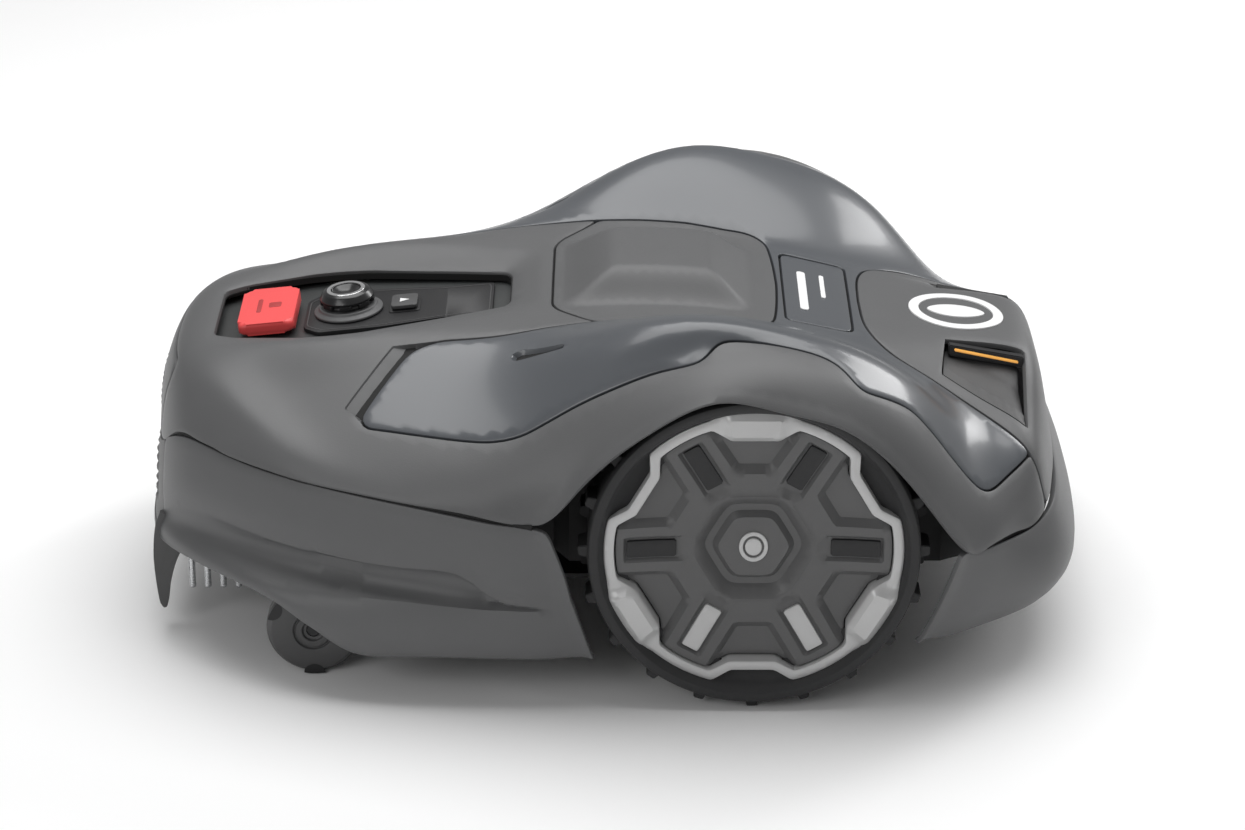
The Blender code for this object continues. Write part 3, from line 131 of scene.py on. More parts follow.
# Front skirt: sections from the nose round to the wheel arch, belt down to hem.
SKIRT = (
    ((-.2955, .000, .113), (-.2965, .000, .104), (-.2970, .000, .092), (-.2980, .000, .084),
     (-.2980, .000, .077), (-.2995, .000, .0690), (-.3005, .000, .0633), (-.3005, .000, .0568)),
    ((-.2945, .036, .113), (-.2955, .036, .104), (-.2960, .037, .092), (-.2970, .037, .084),
     (-.2970, .036, .077), (-.2985, .037, .0690), (-.3000, .036, .0639), (-.3000, .036, .0574)),
    ((-.2900, .066, .1195), (-.2915, .067, .108), (-.2920, .068, .096), (-.2930, .068, .086),
     (-.2930, .067, .077), (-.2950, .069, .0699), (-.2960, .069, .0649), (-.2960, .068, .0584)),
    ((-.2815, .0885, .1350), (-.2830, .093, .116), (-.2840, .095, .103), (-.2845, .094, .091),
     (-.2845, .092, .079), (-.2880, .096, .0743), (-.2890, .097, .0693), (-.2885, .096, .0628)),
    ((-.2655, .1105, .1440), (-.269, .116, .124), (-.270, .119, .109), (-.268, .118, .098),
     (-.2635, .115, .082), (-.268, .124, .0766), (-.269, .126, .0716), (-.268, .125, .0651)),
    ((-.2400, .1360, .1412), (-.241, .140, .124), (-.240, .144, .108), (-.237, .142, .098),
     (-.232, .138, .083), (-.236, .150, .0750), (-.238, .154, .0700), (-.237, .153, .0635)),
    ((-.205, .160, .1388), (-.205, .164, .122), (-.203, .168, .106), (-.201, .166, .095),
     (-.198, .161, .082), (-.200, .176, .069), (-.203, .181, .0672), (-.202, .180, .0607)),
    ((-.160, .181, .1366), (-.158, .185, .118), (-.156, .188, .102), (-.155, .186, .092),
     (-.155, .180, .080), (-.162, .192, .067), (-.168, .194, .0370), (-.168, .192, .0255)),
    ((-.112, .196, .1331), (-.110, .199, .114), (-.108, .200, .099), (-.108, .198, .089),
     (-.110, .192, .078), (-.115, .200, .069), (-.122, .200, .0380), (-.122, .198, .0334)),
    ((-.075, .204, .1274), (-.073, .206, .111), (-.071, .206, .094), (-.070, .205, .082),
     (-.071, .201, .074), (-.072, .204, .068), (-.074, .203, .0370), (-.074, .201, .0318)),
    ((-.042, .209, .1243), (-.036, .2095, .109), (-.030, .209, .091), (-.028, .2085, .079),
     (-.026, .207, .073), (-.024, .206, .067), (-.0145, .2045, .0370), (-.0130, .202, .0327)),
)
# Rear bumper: sections from the wheel arch round to the centre of the tail.
BUMPER = (
    ((.2065, .2085, .1085), (.2015, .2080, .0920), (.1935, .2060, .0700), (.1865, .2030, .0520),
     (.1820, .2000, .0420)),
    ((.2230, .1965, .1068), (.2215, .1975, .0910), (.2150, .1970, .0690), (.2060, .1930, .0490),
     (.2000, .1890, .0400)),
    ((.2430, .1780, .1068), (.2470, .1820, .0920), (.2465, .1830, .0700), (.2345, .1765, .0500),
     (.2270, .1720, .0420)),
    ((.2560, .1640, .1075), (.2650, .1680, .0930), (.2700, .1690, .0740), (.2640, .1650, .0550),
     (.2545, .1595, .0480)),
    ((.2690, .1430, .1110), (.2780, .1465, .0950), (.2835, .1460, .0780), (.2810, .1430, .0640),
     (.2730, .1390, .0570)),
    ((.2750, .1090, .1125), (.2830, .1110, .0960), (.2890, .1110, .0790), (.2885, .1080, .0650),
     (.2820, .1050, .0580)),
    ((.2765, .0600, .1125), (.2850, .0610, .0960), (.2925, .0610, .0770), (.2915, .0590, .0620),
     (.2850, .0570, .0550)),
    ((.2775, .0000, .1125), (.2860, .0000, .0960), (.2935, .0000, .0760), (.2925, .0000, .0610),
     (.2860, .0000, .0540)),
)

# ---------------------------------------------------------------- seam lines between the covers
FENDER_SEAM = ((-.155, .146, .1655), (-.1172, .1588, .1653), (-.0885, .169, .1663), (-.0734, .1734, .1681),
               (-.0578, .1755, .1729), (-.0417, .1746, .1817), (-.0245, .1741, .1919), (-.0048, .1747, .2021),
               (.0217, .1754, .2136), (.044, .1783, .2205), (.0508, .1766, .2232), (.0589, .1683, .2289),
               (.0656, .1664, .2307), (.0805, .1666, .2302), (.102, .1676, .2271), (.1222, .1683, .2213),
               (.133, .172, .216), (.1437, .1823, .2075), (.1505, .1822, .2035), (.174, .1743, .1907),
               (.1862, .1751, .1789), (.202, .1776, .1595), (.2153, .1784, .1432), (.2218, .1774, .1375),
               (.2286, .1726, .136), (.2396, .1605, .1400), (.258, .143, .150))
FENDER_NOSE = ((-.158, .141, .170), (-.146, .122, .180), (-.130, .099, .192), (-.118, .092, .197))
DECK_SEAM = ((-.110, .090, .1985), (-.073, .0925, .2035), (-.042, .0895, .2065), (-.013, .0875, .209))
MODULE_NOSE = ((-.013, .0875, .209), (-.037, .060, .206), (-.041, .050, .205), (-.041, .000, .204))
MODULE_SIDE = ((-.013, .0875, .209), (.016, .0848, .211), (.044, .082, .210), (.070, .0775, .206))
MODULE_TAIL = ((.070, .0775, .206), (.086, .0755, .204), (.096, .068, .203), (.099, .055, .202),
               (.101, .030, .202), (.102, .000, .202))
REAR_SEAM = ((.154, .000, .189), (.155, .030, .189), (.158, .048, .188), (.165, .064, .185),
             (.178, .080, .179), (.199, .101, .172), (.228, .122, .162), (.258, .143, .150))
TAIL_SEAM = ((.258, .143, .150), (.2635, .146, .136), (.266, .148, .124))
PLATE = ((.1055, .0565), (.1480, .055), (.1480, -.055), (.1055, -.0565))
CONSOLE_HALF = ((-.2555, .036), (-.2417, .0435), (-.2255, .047), (-.200, .052), (-.181, .0525),
                (-.162, .051), (-.1434, .0465), (-.1247, .042), (-.106, .0375), (-.0859, .032),
                (-.0727, .0285), (-.0695, .022))
RIM_HALF = ((-.2625, .044), (-.2550, .055), (-.2397, .0625), (-.2232, .070), (-.1975, .078),
            (-.1786, .0805), (-.160, .078), (-.1416, .074), (-.123, .069), (-.095, .060),
            (-.070, .053), (-.055, .049), (-.049, .040))
LAMP = ((.2075, .0455), (.257, .0440), (.2535, .1215), (.2030, .0860))


class Surface:
    """Uniform cubic B-spline sheet over rows of points; each row starts on the centre plane."""

    def __init__(self, rows):
        grid = np.array(rows, dtype=float)
        grid = np.concatenate(([2 * grid[0] - grid[1]], grid, [2 * grid[-1] - grid[-2]]))
        mirrored_column = grid[:, 1] * (1.0, -1.0, 1.0)
        beyond = 2 * grid[:, -1] - grid[:, -2]
        self.grid = np.concatenate((mirrored_column[:, None], grid, beyond[:, None]), axis=1)
        self.s_max = len(rows) - 1.0
        self.q_max = len(rows[0]) - 1.0

    @staticmethod
    def weights(t):
        return np.stack(((1 - t) ** 3, 3 * t ** 3 - 6 * t ** 2 + 4,
                         -3 * t ** 3 + 3 * t ** 2 + 3 * t + 1, t ** 3), axis=-1) / 6.0

    def points(self, s, q):
        """Points of the sheet; a negative q is the mirrored side."""
        s = np.clip(np.asarray(s, dtype=float), 0.0, self.s_max)
        side = np.where(np.asarray(q) < 0.0, -1.0, 1.0)
        q = np.clip(np.abs(q), 0.0, self.q_max)
        i = np.minimum(s.astype(int), int(self.s_max) - 1)
        j = np.minimum(q.astype(int), int(self.q_max) - 1)
        ws = self.weights(s - i)
        wq = self.weights(q - j)
        out = np.zeros(s.shape + (3,))
        for a in range(4):
            for b in range(4):
                out += (ws[..., a] * wq[..., b])[..., None] * self.grid[i + a, j + b]
        out[..., 1] *= side
        return out

    def frames(self, s, q, step=1e-3):
        """Partial derivatives and the outward unit normal."""
        s = np.clip(np.asarray(s, dtype=float), step, self.s_max - step)
        q = np.clip(np.asarray(q, dtype=float), -self.q_max + step, self.q_max - step)
        ds = (self.points(s + step, q) - self.points(s - step, q)) / (2 * step)
        dq = (self.points(s, q + step) - self.points(s, q - step)) / (2 * step)
        normal = np.cross(ds, dq)
        normal /= np.linalg.norm(normal, axis=-1, keepdims=True)
        return ds, dq, normal

    def solve(self, s, q, miss):
        """Parameter move that makes up a small 3-D miss, in the least-squares sense."""
        ds, dq, _normal = self.frames(s, q)
        a, b, c = (ds * ds).sum(-1), (ds * dq).sum(-1), (dq * dq).sum(-1)
        u, v = (ds * miss).sum(-1), (dq * miss).sum(-1)
        det = np.maximum(a * c - b * b, 1e-12)
        return (c * u - b * v) / det, (a * v - b * u) / det

    def snap(self, targets, rounds=12):
        """Surface parameters (s, q) of the points nearest to the targets."""
        targets = np.atleast_2d(np.asarray(targets, dtype=float))
        side = np.where(targets[:, 1] < 0, -1.0, 1.0)
        goal = targets * np.stack((np.ones_like(side), side, np.ones_like(side)), axis=1)
        ss, qq = np.meshgrid(np.linspace(0, self.s_max, 110), np.linspace(0, self.q_max, 70), indexing="ij")
        cloud = self.points(ss, qq).reshape(-1, 3)
        nearest = [int(np.argmin(((cloud - g) ** 2).sum(axis=1))) for g in goal]
        s, q = ss.ravel()[nearest], qq.ravel()[nearest]
        for _ in range(rounds):
            move_s, move_q = self.solve(s, q, goal - self.points(s, q))
            s = np.clip(s + move_s, 0, self.s_max)
            q = np.clip(q + move_q, 0, self.q_max)
        return np.stack((s, q * side), axis=1)


def ramp(value, low, high):
    """Smooth step from 0 at low to 1 at high."""
    t = np.clip((np.asarray(value, dtype=float) - low) / (high - low), 0.0, 1.0)
    return t * t * (3 - 2 * t)


def tuck(point):
    """Behind the wheels the tail draws in towards the centre and sinks a little."""
    x, y, z = point
    amount = 0.016 * ramp(x, .150, .218) * ramp(y, .030, .120) * (1 - 0.75 * ramp(y, .150, .208))
    amount *= 1 - 0.3 * ramp(x, .235, .275)
    return (x, y - float(amount), z - 0.445 * float(amount))


def across(sections):
    """Swap a list of sections into rows that run round the machine."""
    return [[section[k] for section in sections] for k in range(len(sections[0]))]


def mirrored(half):
    """Plan outline closed with its mirror image across the centre plane."""
    return list(half) + [(x, -y) for x, y in reversed(half)]


BODY = Surface([[tuck(point) for point in section] for section in STATIONS])
FRONT = Surface(across(SKIRT)[::-1])
REAR = Surface(across([[tuck(point) for point in section] for section in BUMPER[::-1]]))
FENDER_SEAM, REAR_SEAM, TAIL_SEAM = ([tuck(point) for point in line]
                                     for line in (FENDER_SEAM, REAR_SEAM, TAIL_SEAM))
LAMP = [tuck((x, y, 0))[:2] for x, y in LAMP]
CONSOLE = mirrored(CONSOLE_HALF)
RIM = mirrored(RIM_HALF)


# ---------------------------------------------------------------- outlines
def rounded(points, radius, steps=3):
    """Closed polyline with its corners cut by short arcs."""
    out = []
    count = len(points)
    for k in range(count):
        a, b, c = (np.array(points[(k + o) % count], dtype=float) for o in (-1, 0, 1))
        back, ahead = a - b, c - b
        cut = min(radius, 0.45 * np.linalg.norm(back), 0.45 * np.linalg.norm(ahead))
        p = b + back / np.linalg.norm(back) * cut
        r = b + ahead / np.linalg.norm(ahead) * cut
        for t in np.linspace(0, 1, steps + 1):
            out.append((1 - t) ** 2 * p + 2 * t * (1 - t) * b + t ** 2 * r)
    return out


def resample(points, step):
    """Open polyline resampled at about equal steps, ends kept."""
    points = np.array(points, dtype=float)
    travel = np.concatenate(([0.0], np.cumsum(np.linalg.norm(np.diff(points, axis=0), axis=1))))
    marks = np.linspace(0, travel[-1], max(1, int(round(travel[-1] / step))) + 1)
    return np.stack([np.interp(marks, travel, points[:, k]) for k in range(points.shape[1])], axis=1)


def closed_resample(points, step):
    return resample(np.concatenate((points, points[:1])), step)[:-1]


def smooth(points, per=8):
    """Catmull-Rom curve through the points."""
    pts = [np.array(p, dtype=float) for p in points]
    pts = [2 * pts[0] - pts[1]] + pts + [2 * pts[-1] - pts[-2]]
    out = []
    for k in range(1, len(pts) - 2):
        a, b, c, d = pts[k - 1:k + 3]
        for t in np.linspace(0, 1, per, endpoint=False):
            out.append(0.5 * (2 * b + (c - a) * t + (2 * a - 5 * b + 4 * c - d) * t * t
                              + (3 * b - a - 3 * c + d) * t ** 3))
    out.append(pts[-2])
    return out


def inside(loop, points):
    """Even-odd test of many points against one closed loop."""
    x, y = points[:, 0], points[:, 1]
    hit = np.zeros(len(points), dtype=bool)
    for (x1, y1), (x2, y2) in zip(loop, np.roll(loop, -1, axis=0)):
        if y1 == y2:
            continue
        cross = (y1 > y) != (y2 > y)
        hit ^= cross & (x < (x2 - x1) * (y - y1) / (y2 - y1) + x1)
    return hit


def away(line, points, closed=True):
    """Distances from many points to a polyline, in as many dimensions as the points have."""
    a = np.array(line, dtype=float)
    b = np.roll(a, -1, axis=0)
    if not closed:
        a, b = a[:-1], b[:-1]
    run = b - a
    size = np.maximum((run ** 2).sum(axis=1), 1e-18)
    best = np.full(len(points), 1e9)
    for start, step, length in zip(a, run, size):
        t = np.clip(((points - start) @ step) / length, 0.0, 1.0)
        best = np.minimum(best, np.linalg.norm(points - start - t[:, None] * step, axis=1))
    return best


def turn_of(loop):
    nxt = np.roll(loop, -1, axis=0)
    return 1.0 if np.sum(loop[:, 0] * nxt[:, 1] - nxt[:, 0] * loop[:, 1]) > 0 else -1.0


def inset(sheet, loop, distance):
    """Parameter loop moved inwards by a true distance along the surface."""
    here = sheet.points(loop[:, 0], loop[:, 1])
    normal = sheet.frames(loop[:, 0], loop[:, 1])[2]
    one = here - np.roll(here, 1, axis=0)
    two = np.roll(here, -1, axis=0) - here
    one /= np.maximum(np.linalg.norm(one, axis=1, keepdims=True), 1e-9)
    two /= np.maximum(np.linalg.norm(two, axis=1, keepdims=True), 1e-9)
    side_b = np.cross(normal, two) * turn_of(loop)
    way = np.cross(normal, one) * turn_of(loop) + side_b
    way /= np.maximum(np.linalg.norm(way, axis=1, keepdims=True), 1e-9)
    reach = distance / np.maximum(0.5, (way * side_b).sum(axis=1))
    move_s, move_q = sheet.solve(loop[:, 0], loop[:, 1], way * reach[:, None])
    return loop + np.stack((move_s, move_q), axis=1)


def soften(loop, rounds=2):
    """Round the corners of an evenly spaced loop a little."""
    for _ in range(rounds):
        loop = 0.25 * np.roll(loop, 1, axis=0) + 0.5 * loop + 0.25 * np.roll(loop, -1, axis=0)
    return loop


def both_sides(half):
    """Close a right-hand half loop with its mirror image."""
    half = np.array(half)
    left = half[::-1] * (1.0, -1.0)
    if abs(half[0][1]) < 1e-6:
        left = left[:-1]
    if abs(half[-1][1]) < 1e-6:
        left = left[1:]
    return np.concatenate((half, left))


def even(sheet, points, step):
    """Parameter polyline restepped to about equal true distances."""
    dense = resample(points, 0.03)
    at = sheet.points(dense[:, 0], dense[:, 1])
    travel = np.concatenate(([0], np.cumsum(np.linalg.norm(np.diff(at, axis=0), axis=1))))
    stops = np.linspace(0, travel[-1], max(1, int(round(travel[-1] / step))) + 1)
    return np.stack([np.interp(stops, travel, dense[:, k]) for k in (0, 1)], axis=1)


def traced(sheet, runs, step=0.0034):
    """Half loop made of curves; each run is ('free' or 'straight', points) or ('grid', parameters)."""
    out = []
    for kind, points in runs:
        if kind == "grid":
            marks = even(sheet, points, step)
        else:
            marks = sheet.snap(resample(smooth(points) if kind == "free" else points, step))
        if out:
            marks = marks[1:] if np.linalg.norm(marks[0] - out[-1]) < 0.12 else marks
        out.extend(marks)
    return np.array(out)


def on_deck(points):
    """Parameters of plan points dropped straight down onto the deck."""
    goal = np.array(points, dtype=float)
    marks = BODY.snap(np.column_stack((goal, np.full(len(goal), 0.195))))
    for _ in range(10):
        here = BODY.points(marks[:, 0], marks[:, 1])
        ds, dq, _normal = BODY.frames(marks[:, 0], marks[:, 1])
        miss = goal - here[:, :2]
        det = ds[:, 0] * dq[:, 1] - ds[:, 1] * dq[:, 0]
        marks = marks + np.stack(((miss[:, 0] * dq[:, 1] - miss[:, 1] * dq[:, 0]) / det,
                                  (miss[:, 1] * ds[:, 0] - miss[:, 0] * ds[:, 1]) / det), axis=1)
    return marks


# ---------------------------------------------------------------- materials
def node(tree, kind, **inputs):
    made = tree.nodes.new(kind)
    for key, value in inputs.items():
        made.inputs[key.replace("_", " ")].default_value = value
    return made


def moulded(name, colour, rough, metal=0.0, grain=1100.0, relief=0.10, mottle=0.07, spread=0.10, coat=0.0,
            coat_rough=0.08, glow=0.0):
    """Procedural finish: fine moulded grain, faint mottling and a little change of gloss."""
    mat = bpy.data.materials.new(name)
    mat.use_nodes = True
    tree = mat.node_tree
    shader = tree.nodes["Principled BSDF"]
    shader.inputs["Metallic"].default_value = metal
    shader.inputs["Coat Weight"].default_value = coat
    shader.inputs["Coat Roughness"].default_value = coat_rough
    place = tree.nodes.new("ShaderNodeTexCoord")
    broad = node(tree, "ShaderNodeTexNoise", Scale=34.0, Detail=4.0, Roughness=0.55)
    fine = node(tree, "ShaderNodeTexNoise", Scale=grain, Detail=2.0, Roughness=0.6)
    tint = tree.nodes.new("ShaderNodeMapRange")
    tint.inputs["To Min"].default_value = 1.0 - mottle
    tint.inputs["To Max"].default_value = 1.0 + mottle
    speck = tree.nodes.new("ShaderNodeMapRange")
    speck.inputs["To Min"].default_value = 1.0 - mottle
    speck.inputs["To Max"].default_value = 1.0 + mottle
    both = tree.nodes.new("ShaderNodeMath")
    both.operation = "MULTIPLY"
    paint = tree.nodes.new("ShaderNodeVectorMath")
    paint.operation = "SCALE"
    paint.inputs[0].default_value = colour
    gloss = tree.nodes.new("ShaderNodeMapRange")
    gloss.inputs["To Min"].default_value = max(0.03, rough - spread)
    gloss.inputs["To Max"].default_value = min(1.0, rough + spread)
    bump = node(tree, "ShaderNodeBump", Strength=relief, Distance=0.0004)
    link = tree.links.new
    for noise in (broad, fine):
        link(place.outputs["Object"], noise.inputs["Vector"])
    link(broad.outputs["Fac"], tint.inputs["Value"])
    link(fine.outputs["Fac"], speck.inputs["Value"])
    link(tint.outputs["Result"], both.inputs[0])
    link(speck.outputs["Result"], both.inputs[1])
    link(both.outputs["Value"], paint.inputs["Scale"])
    link(paint.outputs["Vector"], shader.inputs["Base Color"])
    link(fine.outputs["Fac"], gloss.inputs["Value"])
    link(gloss.outputs["Result"], shader.inputs["Roughness"])
    link(fine.outputs["Fac"], bump.inputs["Height"])
    link(bump.outputs["Normal"], shader.inputs["Normal"])
    if glow:
        link(paint.outputs["Vector"], shader.inputs["Emission Color"])
        shader.inputs["Emission Strength"].default_value = glow
    return mat


MATTE = moulded("matte_plastic", (.100, .101, .103), .46, relief=.16, mottle=.05)
DEEP = moulded("deep_grey_plastic", (.066, .066, .067), .50, relief=.16)
GLOSS = moulded("gloss_plastic", (.080, .086, .095), .32, relief=.02, mottle=.03,
                spread=.04, coat=.40, coat_rough=.13)
HUB = moulded("hub_plastic", (.100, .100, .101), .42, relief=.14)
BLACK = moulded("black_plastic", (.011, .011, .012), .50, relief=.12)
# painted shade: near-black for the sheets and strips set behind seams and gaps, where only shade falls
SHADE = moulded("painted_seam_shade", (.004, .004, .004), .75, relief=.06)
PIANO = moulded("black_gloss", (.010, .010, .011), .30, relief=.01, spread=.03, coat=.3, coat_rough=.12)
RUBBER = moulded("rubber", (.024, .024, .025), .68, grain=700.0, relief=.30, mottle=.10)
SILVER = moulded("silver_paint", (.50, .50, .50), .36, metal=.25, grain=2400.0, relief=.05, mottle=.04,
                 coat=.3)
CHROME = moulded("bright_ring", (.85, .85, .86), .16, metal=.9, grain=1800.0, relief=.02)
RED = moulded("red_plastic", (.84, .085, .085), .38, relief=.08, mottle=.03)
WHITE = moulded("white_print", (.84, .84, .84), .42, relief=.04, mottle=.02)
AMBER = moulded("amber_lens", (.92, .46, .10), .22, relief=.02, coat=.6, glow=.25)
STEEL = moulded("steel", (.56, .57, .58), .27, metal=1.0, grain=900.0, relief=.06)
BATTERY = moulded("battery_sleeve", (.035, .050, .085), .55, relief=.10)
BOARD = moulded("circuit_board", (.018, .110, .045), .42, grain=420.0, relief=.35, mottle=.22)
CONSOLE_FLOOR = moulded("console_plastic", (.045, .048, .048), .40, relief=.12)


# ---------------------------------------------------------------- mesh helpers
def new_object(name, mesh, mat, body, nodes=(), crisp=0.62):
    """Object from a bmesh: welded, outward facing, smooth with crisp folds, riding its body."""
    bmesh.ops.translate(mesh, verts=mesh.verts, vec=(MIDDLE, 0, 0))
    bmesh.ops.remove_doubles(mesh, verts=mesh.verts, dist=2e-6)
    loose = [vert for vert in mesh.verts if not vert.link_faces]
    bmesh.ops.delete(mesh, geom=loose, context="VERTS")
    bmesh.ops.recalc_face_normals(mesh, faces=mesh.faces)
    for face in mesh.faces:
        face.smooth = True
    for edge in mesh.edges:
        edge.smooth = len(edge.link_faces) == 2 and edge.calc_face_angle(0.0) < crisp
    data = bpy.data.meshes.new(name)
    mesh.to_mesh(data)
    mesh.free()
    obj = bpy.data.objects.new(name, data)
    bpy.context.scene.collection.objects.link(obj)
    data.materials.append(mat)
    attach(obj, body)
    if nodes:
        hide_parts(*nodes)
    return obj


def panel(name, mat, sheet, loop, holes=(), body="covers", nodes=(), step=STEP, gap=GAP, roll=ROLL, skin=SKIN,
          shape=None, lines=(), slot=None, cell=(0.036, 0.017), crisp=0.62):
    """Moulded cover: the part of the sheet inside the loop, with rolled edges and a wall."""
    rims = [(loop, 1.0)] + [(hole, -1.0) for hole in holes]
    inward = (0.0, 0.3 * roll, roll)
    drops = [roll - math.sqrt(max(0.0, roll ** 2 - (roll - d) ** 2)) for d in inward]
    params, drop, edges, outer = [], [], [], []
    count = 0
    for rim, sign in rims:
        for d, fall in zip(inward, drops):
            ring = inset(sheet, rim, sign * (gap + d))
            if d == 0.0:
                outer.append((ring, count))
            params.append(ring)
            drop.append(np.full(len(ring), fall))
            edges += [(count + k, count + (k + 1) % len(ring)) for k in range(len(ring))]
            count += len(ring)
    fixed = np.concatenate(params)
    limits = [ring for ring, _start in outer]
    for line in lines:
        keep = inside(limits[0], line)
        for ring in limits[1:]:
            keep &= ~inside(ring, line)
        at = sheet.points(line[:, 0], line[:, 1])
        rim_at = sheet.points(fixed[:, 0], fixed[:, 1])
        keep &= np.array([np.min(((rim_at - p) ** 2).sum(axis=1)) > (2.2 * roll) ** 2 for p in at])
        kept = np.where(keep)[0]
        params.append(line[kept])
        drop.append(np.zeros(len(kept)))
        edges += [(count + a, count + a + 1) for a in range(len(kept) - 1) if kept[a + 1] == kept[a] + 1]
        count += len(kept)
    fixed = np.concatenate(params)
    low, high = limits[0].min(axis=0), limits[0].max(axis=0)
    ss = np.arange(low[0], high[0] + 0.01, step / cell[0])
    qq = np.arange(low[1], high[1] + 0.01, step / cell[1])
    cloud = np.array([(s, q + (0.5 * step / cell[1] if k % 2 else 0.0)) for k,
                      s in enumerate(ss) for q in qq])
    keep = inside(limits[0], cloud)
    for ring in limits[1:]:
        keep &= ~inside(ring, cloud)
    cloud = cloud[keep]
    at = sheet.points(cloud[:, 0], cloud[:, 1])
    fixed_at = sheet.points(fixed[:, 0], fixed[:, 1])
    near = np.array([np.min(((fixed_at - p) ** 2).sum(axis=1)) for p in at]) if len(at) else np.zeros(0)
    cloud = cloud[near > (0.55 * step) ** 2]
    params = np.concatenate((fixed, cloud))
    drop = np.concatenate(drop + [np.zeros(len(cloud))])
    flat = [Vector(p) for p in params * np.array(cell)]
    verts, _edges, faces, origins, _eo, _fo = delaunay_2d_cdt(flat, edges, [], 0, 1e-9)
    index = {}
    extra = []
    for k, source in enumerate(origins):
        if source:
            index[k] = source[0]
        else:
            index[k] = len(params) + len(extra)
            extra.append((verts[k][0] / cell[0], verts[k][1] / cell[1]))
    if extra:
        params = np.concatenate((params, np.array(extra)))
        drop = np.concatenate((drop, np.zeros(len(extra))))
    base = sheet.points(params[:, 0], params[:, 1])
    normals = sheet.frames(params[:, 0], params[:, 1])[2]
    lift = -drop
    if shape is not None:
        lift = lift + shape(base, params)
    tops = base + normals * lift[:, None]
    lows = tops - normals * skin
    mesh = bmesh.new()
    top = [mesh.verts.new(p) for p in tops]
    low = [mesh.verts.new(p) for p in lows]
    ids = [[index[k] for k in face] for face in faces]
    middles = np.array([params[face].mean(axis=0) for face in ids])
    keep = inside(limits[0], middles)
    for ring in limits[1:]:
        keep &= ~inside(ring, middles)
    for face, used in zip(ids, keep):
        if used:
            mesh.faces.new([top[k] for k in face])
            mesh.faces.new([low[k] for k in reversed(face)])
    for ring, start in outer:
        for k in range(len(ring)):
            a, b = start + k, start + (k + 1) % len(ring)
            mesh.faces.new((top[a], low[a], low[b], top[b]))
    return new_object(name, mesh, mat, body, nodes, crisp)


def beside(sheet, s_values, q_edge, distance):
    """Parameter line at a true distance inside the sheet's edge row."""
    s_values = np.asarray(s_values, dtype=float)
    q = np.full(len(s_values), q_edge - 0.1)
    edge = sheet.points(s_values, np.full(len(s_values), q_edge))
    for _ in range(12):
        gone = away(edge, sheet.points(s_values, q), closed=False)
        q = q_edge - (q_edge - q) * distance / np.maximum(gone, 1e-6)
    return np.stack((s_values, q), axis=1)


def both(lines):
    """Parameter lines and their mirror images."""
    return [line * (1.0, side) for line in lines for side in (1.0, -1.0)]


def lathe(name, mat, profile, axis, centre, body, nodes=(), segments=96, crisp=0.5, tilt=None):
    """Turned piece: profile of (radius, offset along the axis); a closed ring or a spindle."""
    mesh = bmesh.new()
    turn = {"X": Matrix.Rotation(math.pi / 2, 3, "Y"), "Y": Matrix.Rotation(-math.pi / 2, 3, "X"),
            "Z": Matrix.Identity(3)}[axis]
    rings = []
    for k in range(segments):
        angle = 2 * math.pi * k / segments
        rings.append([mesh.verts.new(turn @ Vector((r * math.cos(angle), r * math.sin(angle), h))
                                     + Vector(centre)) for r, h in profile])
    closed = profile[0][0] > 1e-6 and profile[-1][0] > 1e-6
    for k in range(segments):
        a, b = rings[k], rings[(k + 1) % segments]
        for j in range(len(profile) if closed else len(profile) - 1):
            n = (j + 1) % len(profile)
            mesh.faces.new((a[j], b[j], b[n], a[n]))
    bmesh.ops.remove_doubles(mesh, verts=mesh.verts, dist=1e-6)
    for face in [f for f in mesh.faces if f.calc_area() < 1e-13]:
        mesh.faces.remove(face)
    if tilt is not None:
        bmesh.ops.transform(mesh, matrix=tilt, verts=mesh.verts)
    return new_object(name, mesh, mat, body, nodes, crisp)


def round_profile(points, radius, steps=4):
    """Open profile with its inner corners rounded."""
    pts = [np.array(p, dtype=float) for p in points]
    out = [tuple(pts[0])]
    for a, b, c in zip(pts, pts[1:], pts[2:]):
        back, ahead = a - b, c - b
        cut = min(radius, 0.45 * np.linalg.norm(back), 0.45 * np.linalg.norm(ahead))
        p, r = b + back / np.linalg.norm(back) * cut, b + ahead / np.linalg.norm(ahead) * cut
        out += [tuple((1 - t) ** 2 * p + 2 * t * (1 - t) * b + t ** 2 * r) for t in np.linspace(0, 1,
                                                                                                steps + 1)]
    out.append(tuple(pts[-1]))
    return out


def raised(height):
    """Shape that moves a whole panel out by one height."""
    return lambda points, _params: np.full(len(points), height)


def absorb(mesh, part):
    """Add one bmesh to another and free it."""
    data = bpy.data.meshes.new("part")
    part.to_mesh(data)
    part.free()
    mesh.from_mesh(data)
    bpy.data.meshes.remove(data)


def skin_rows(mesh, rows, closed=False):
    """Skin the rows of corner points one after another; an open row gets two end faces."""
    corners = [[mesh.verts.new(point) for point in row] for row in rows]
    if not closed:
        mesh.faces.new(corners[0])
        mesh.faces.new(corners[-1])
    for a, b in zip(corners, corners[1:] + corners[:1] if closed else corners[1:]):
        for k in range(len(a)):
            n = (k + 1) % len(a)
            mesh.faces.new((a[k], a[n], b[n], b[k]))


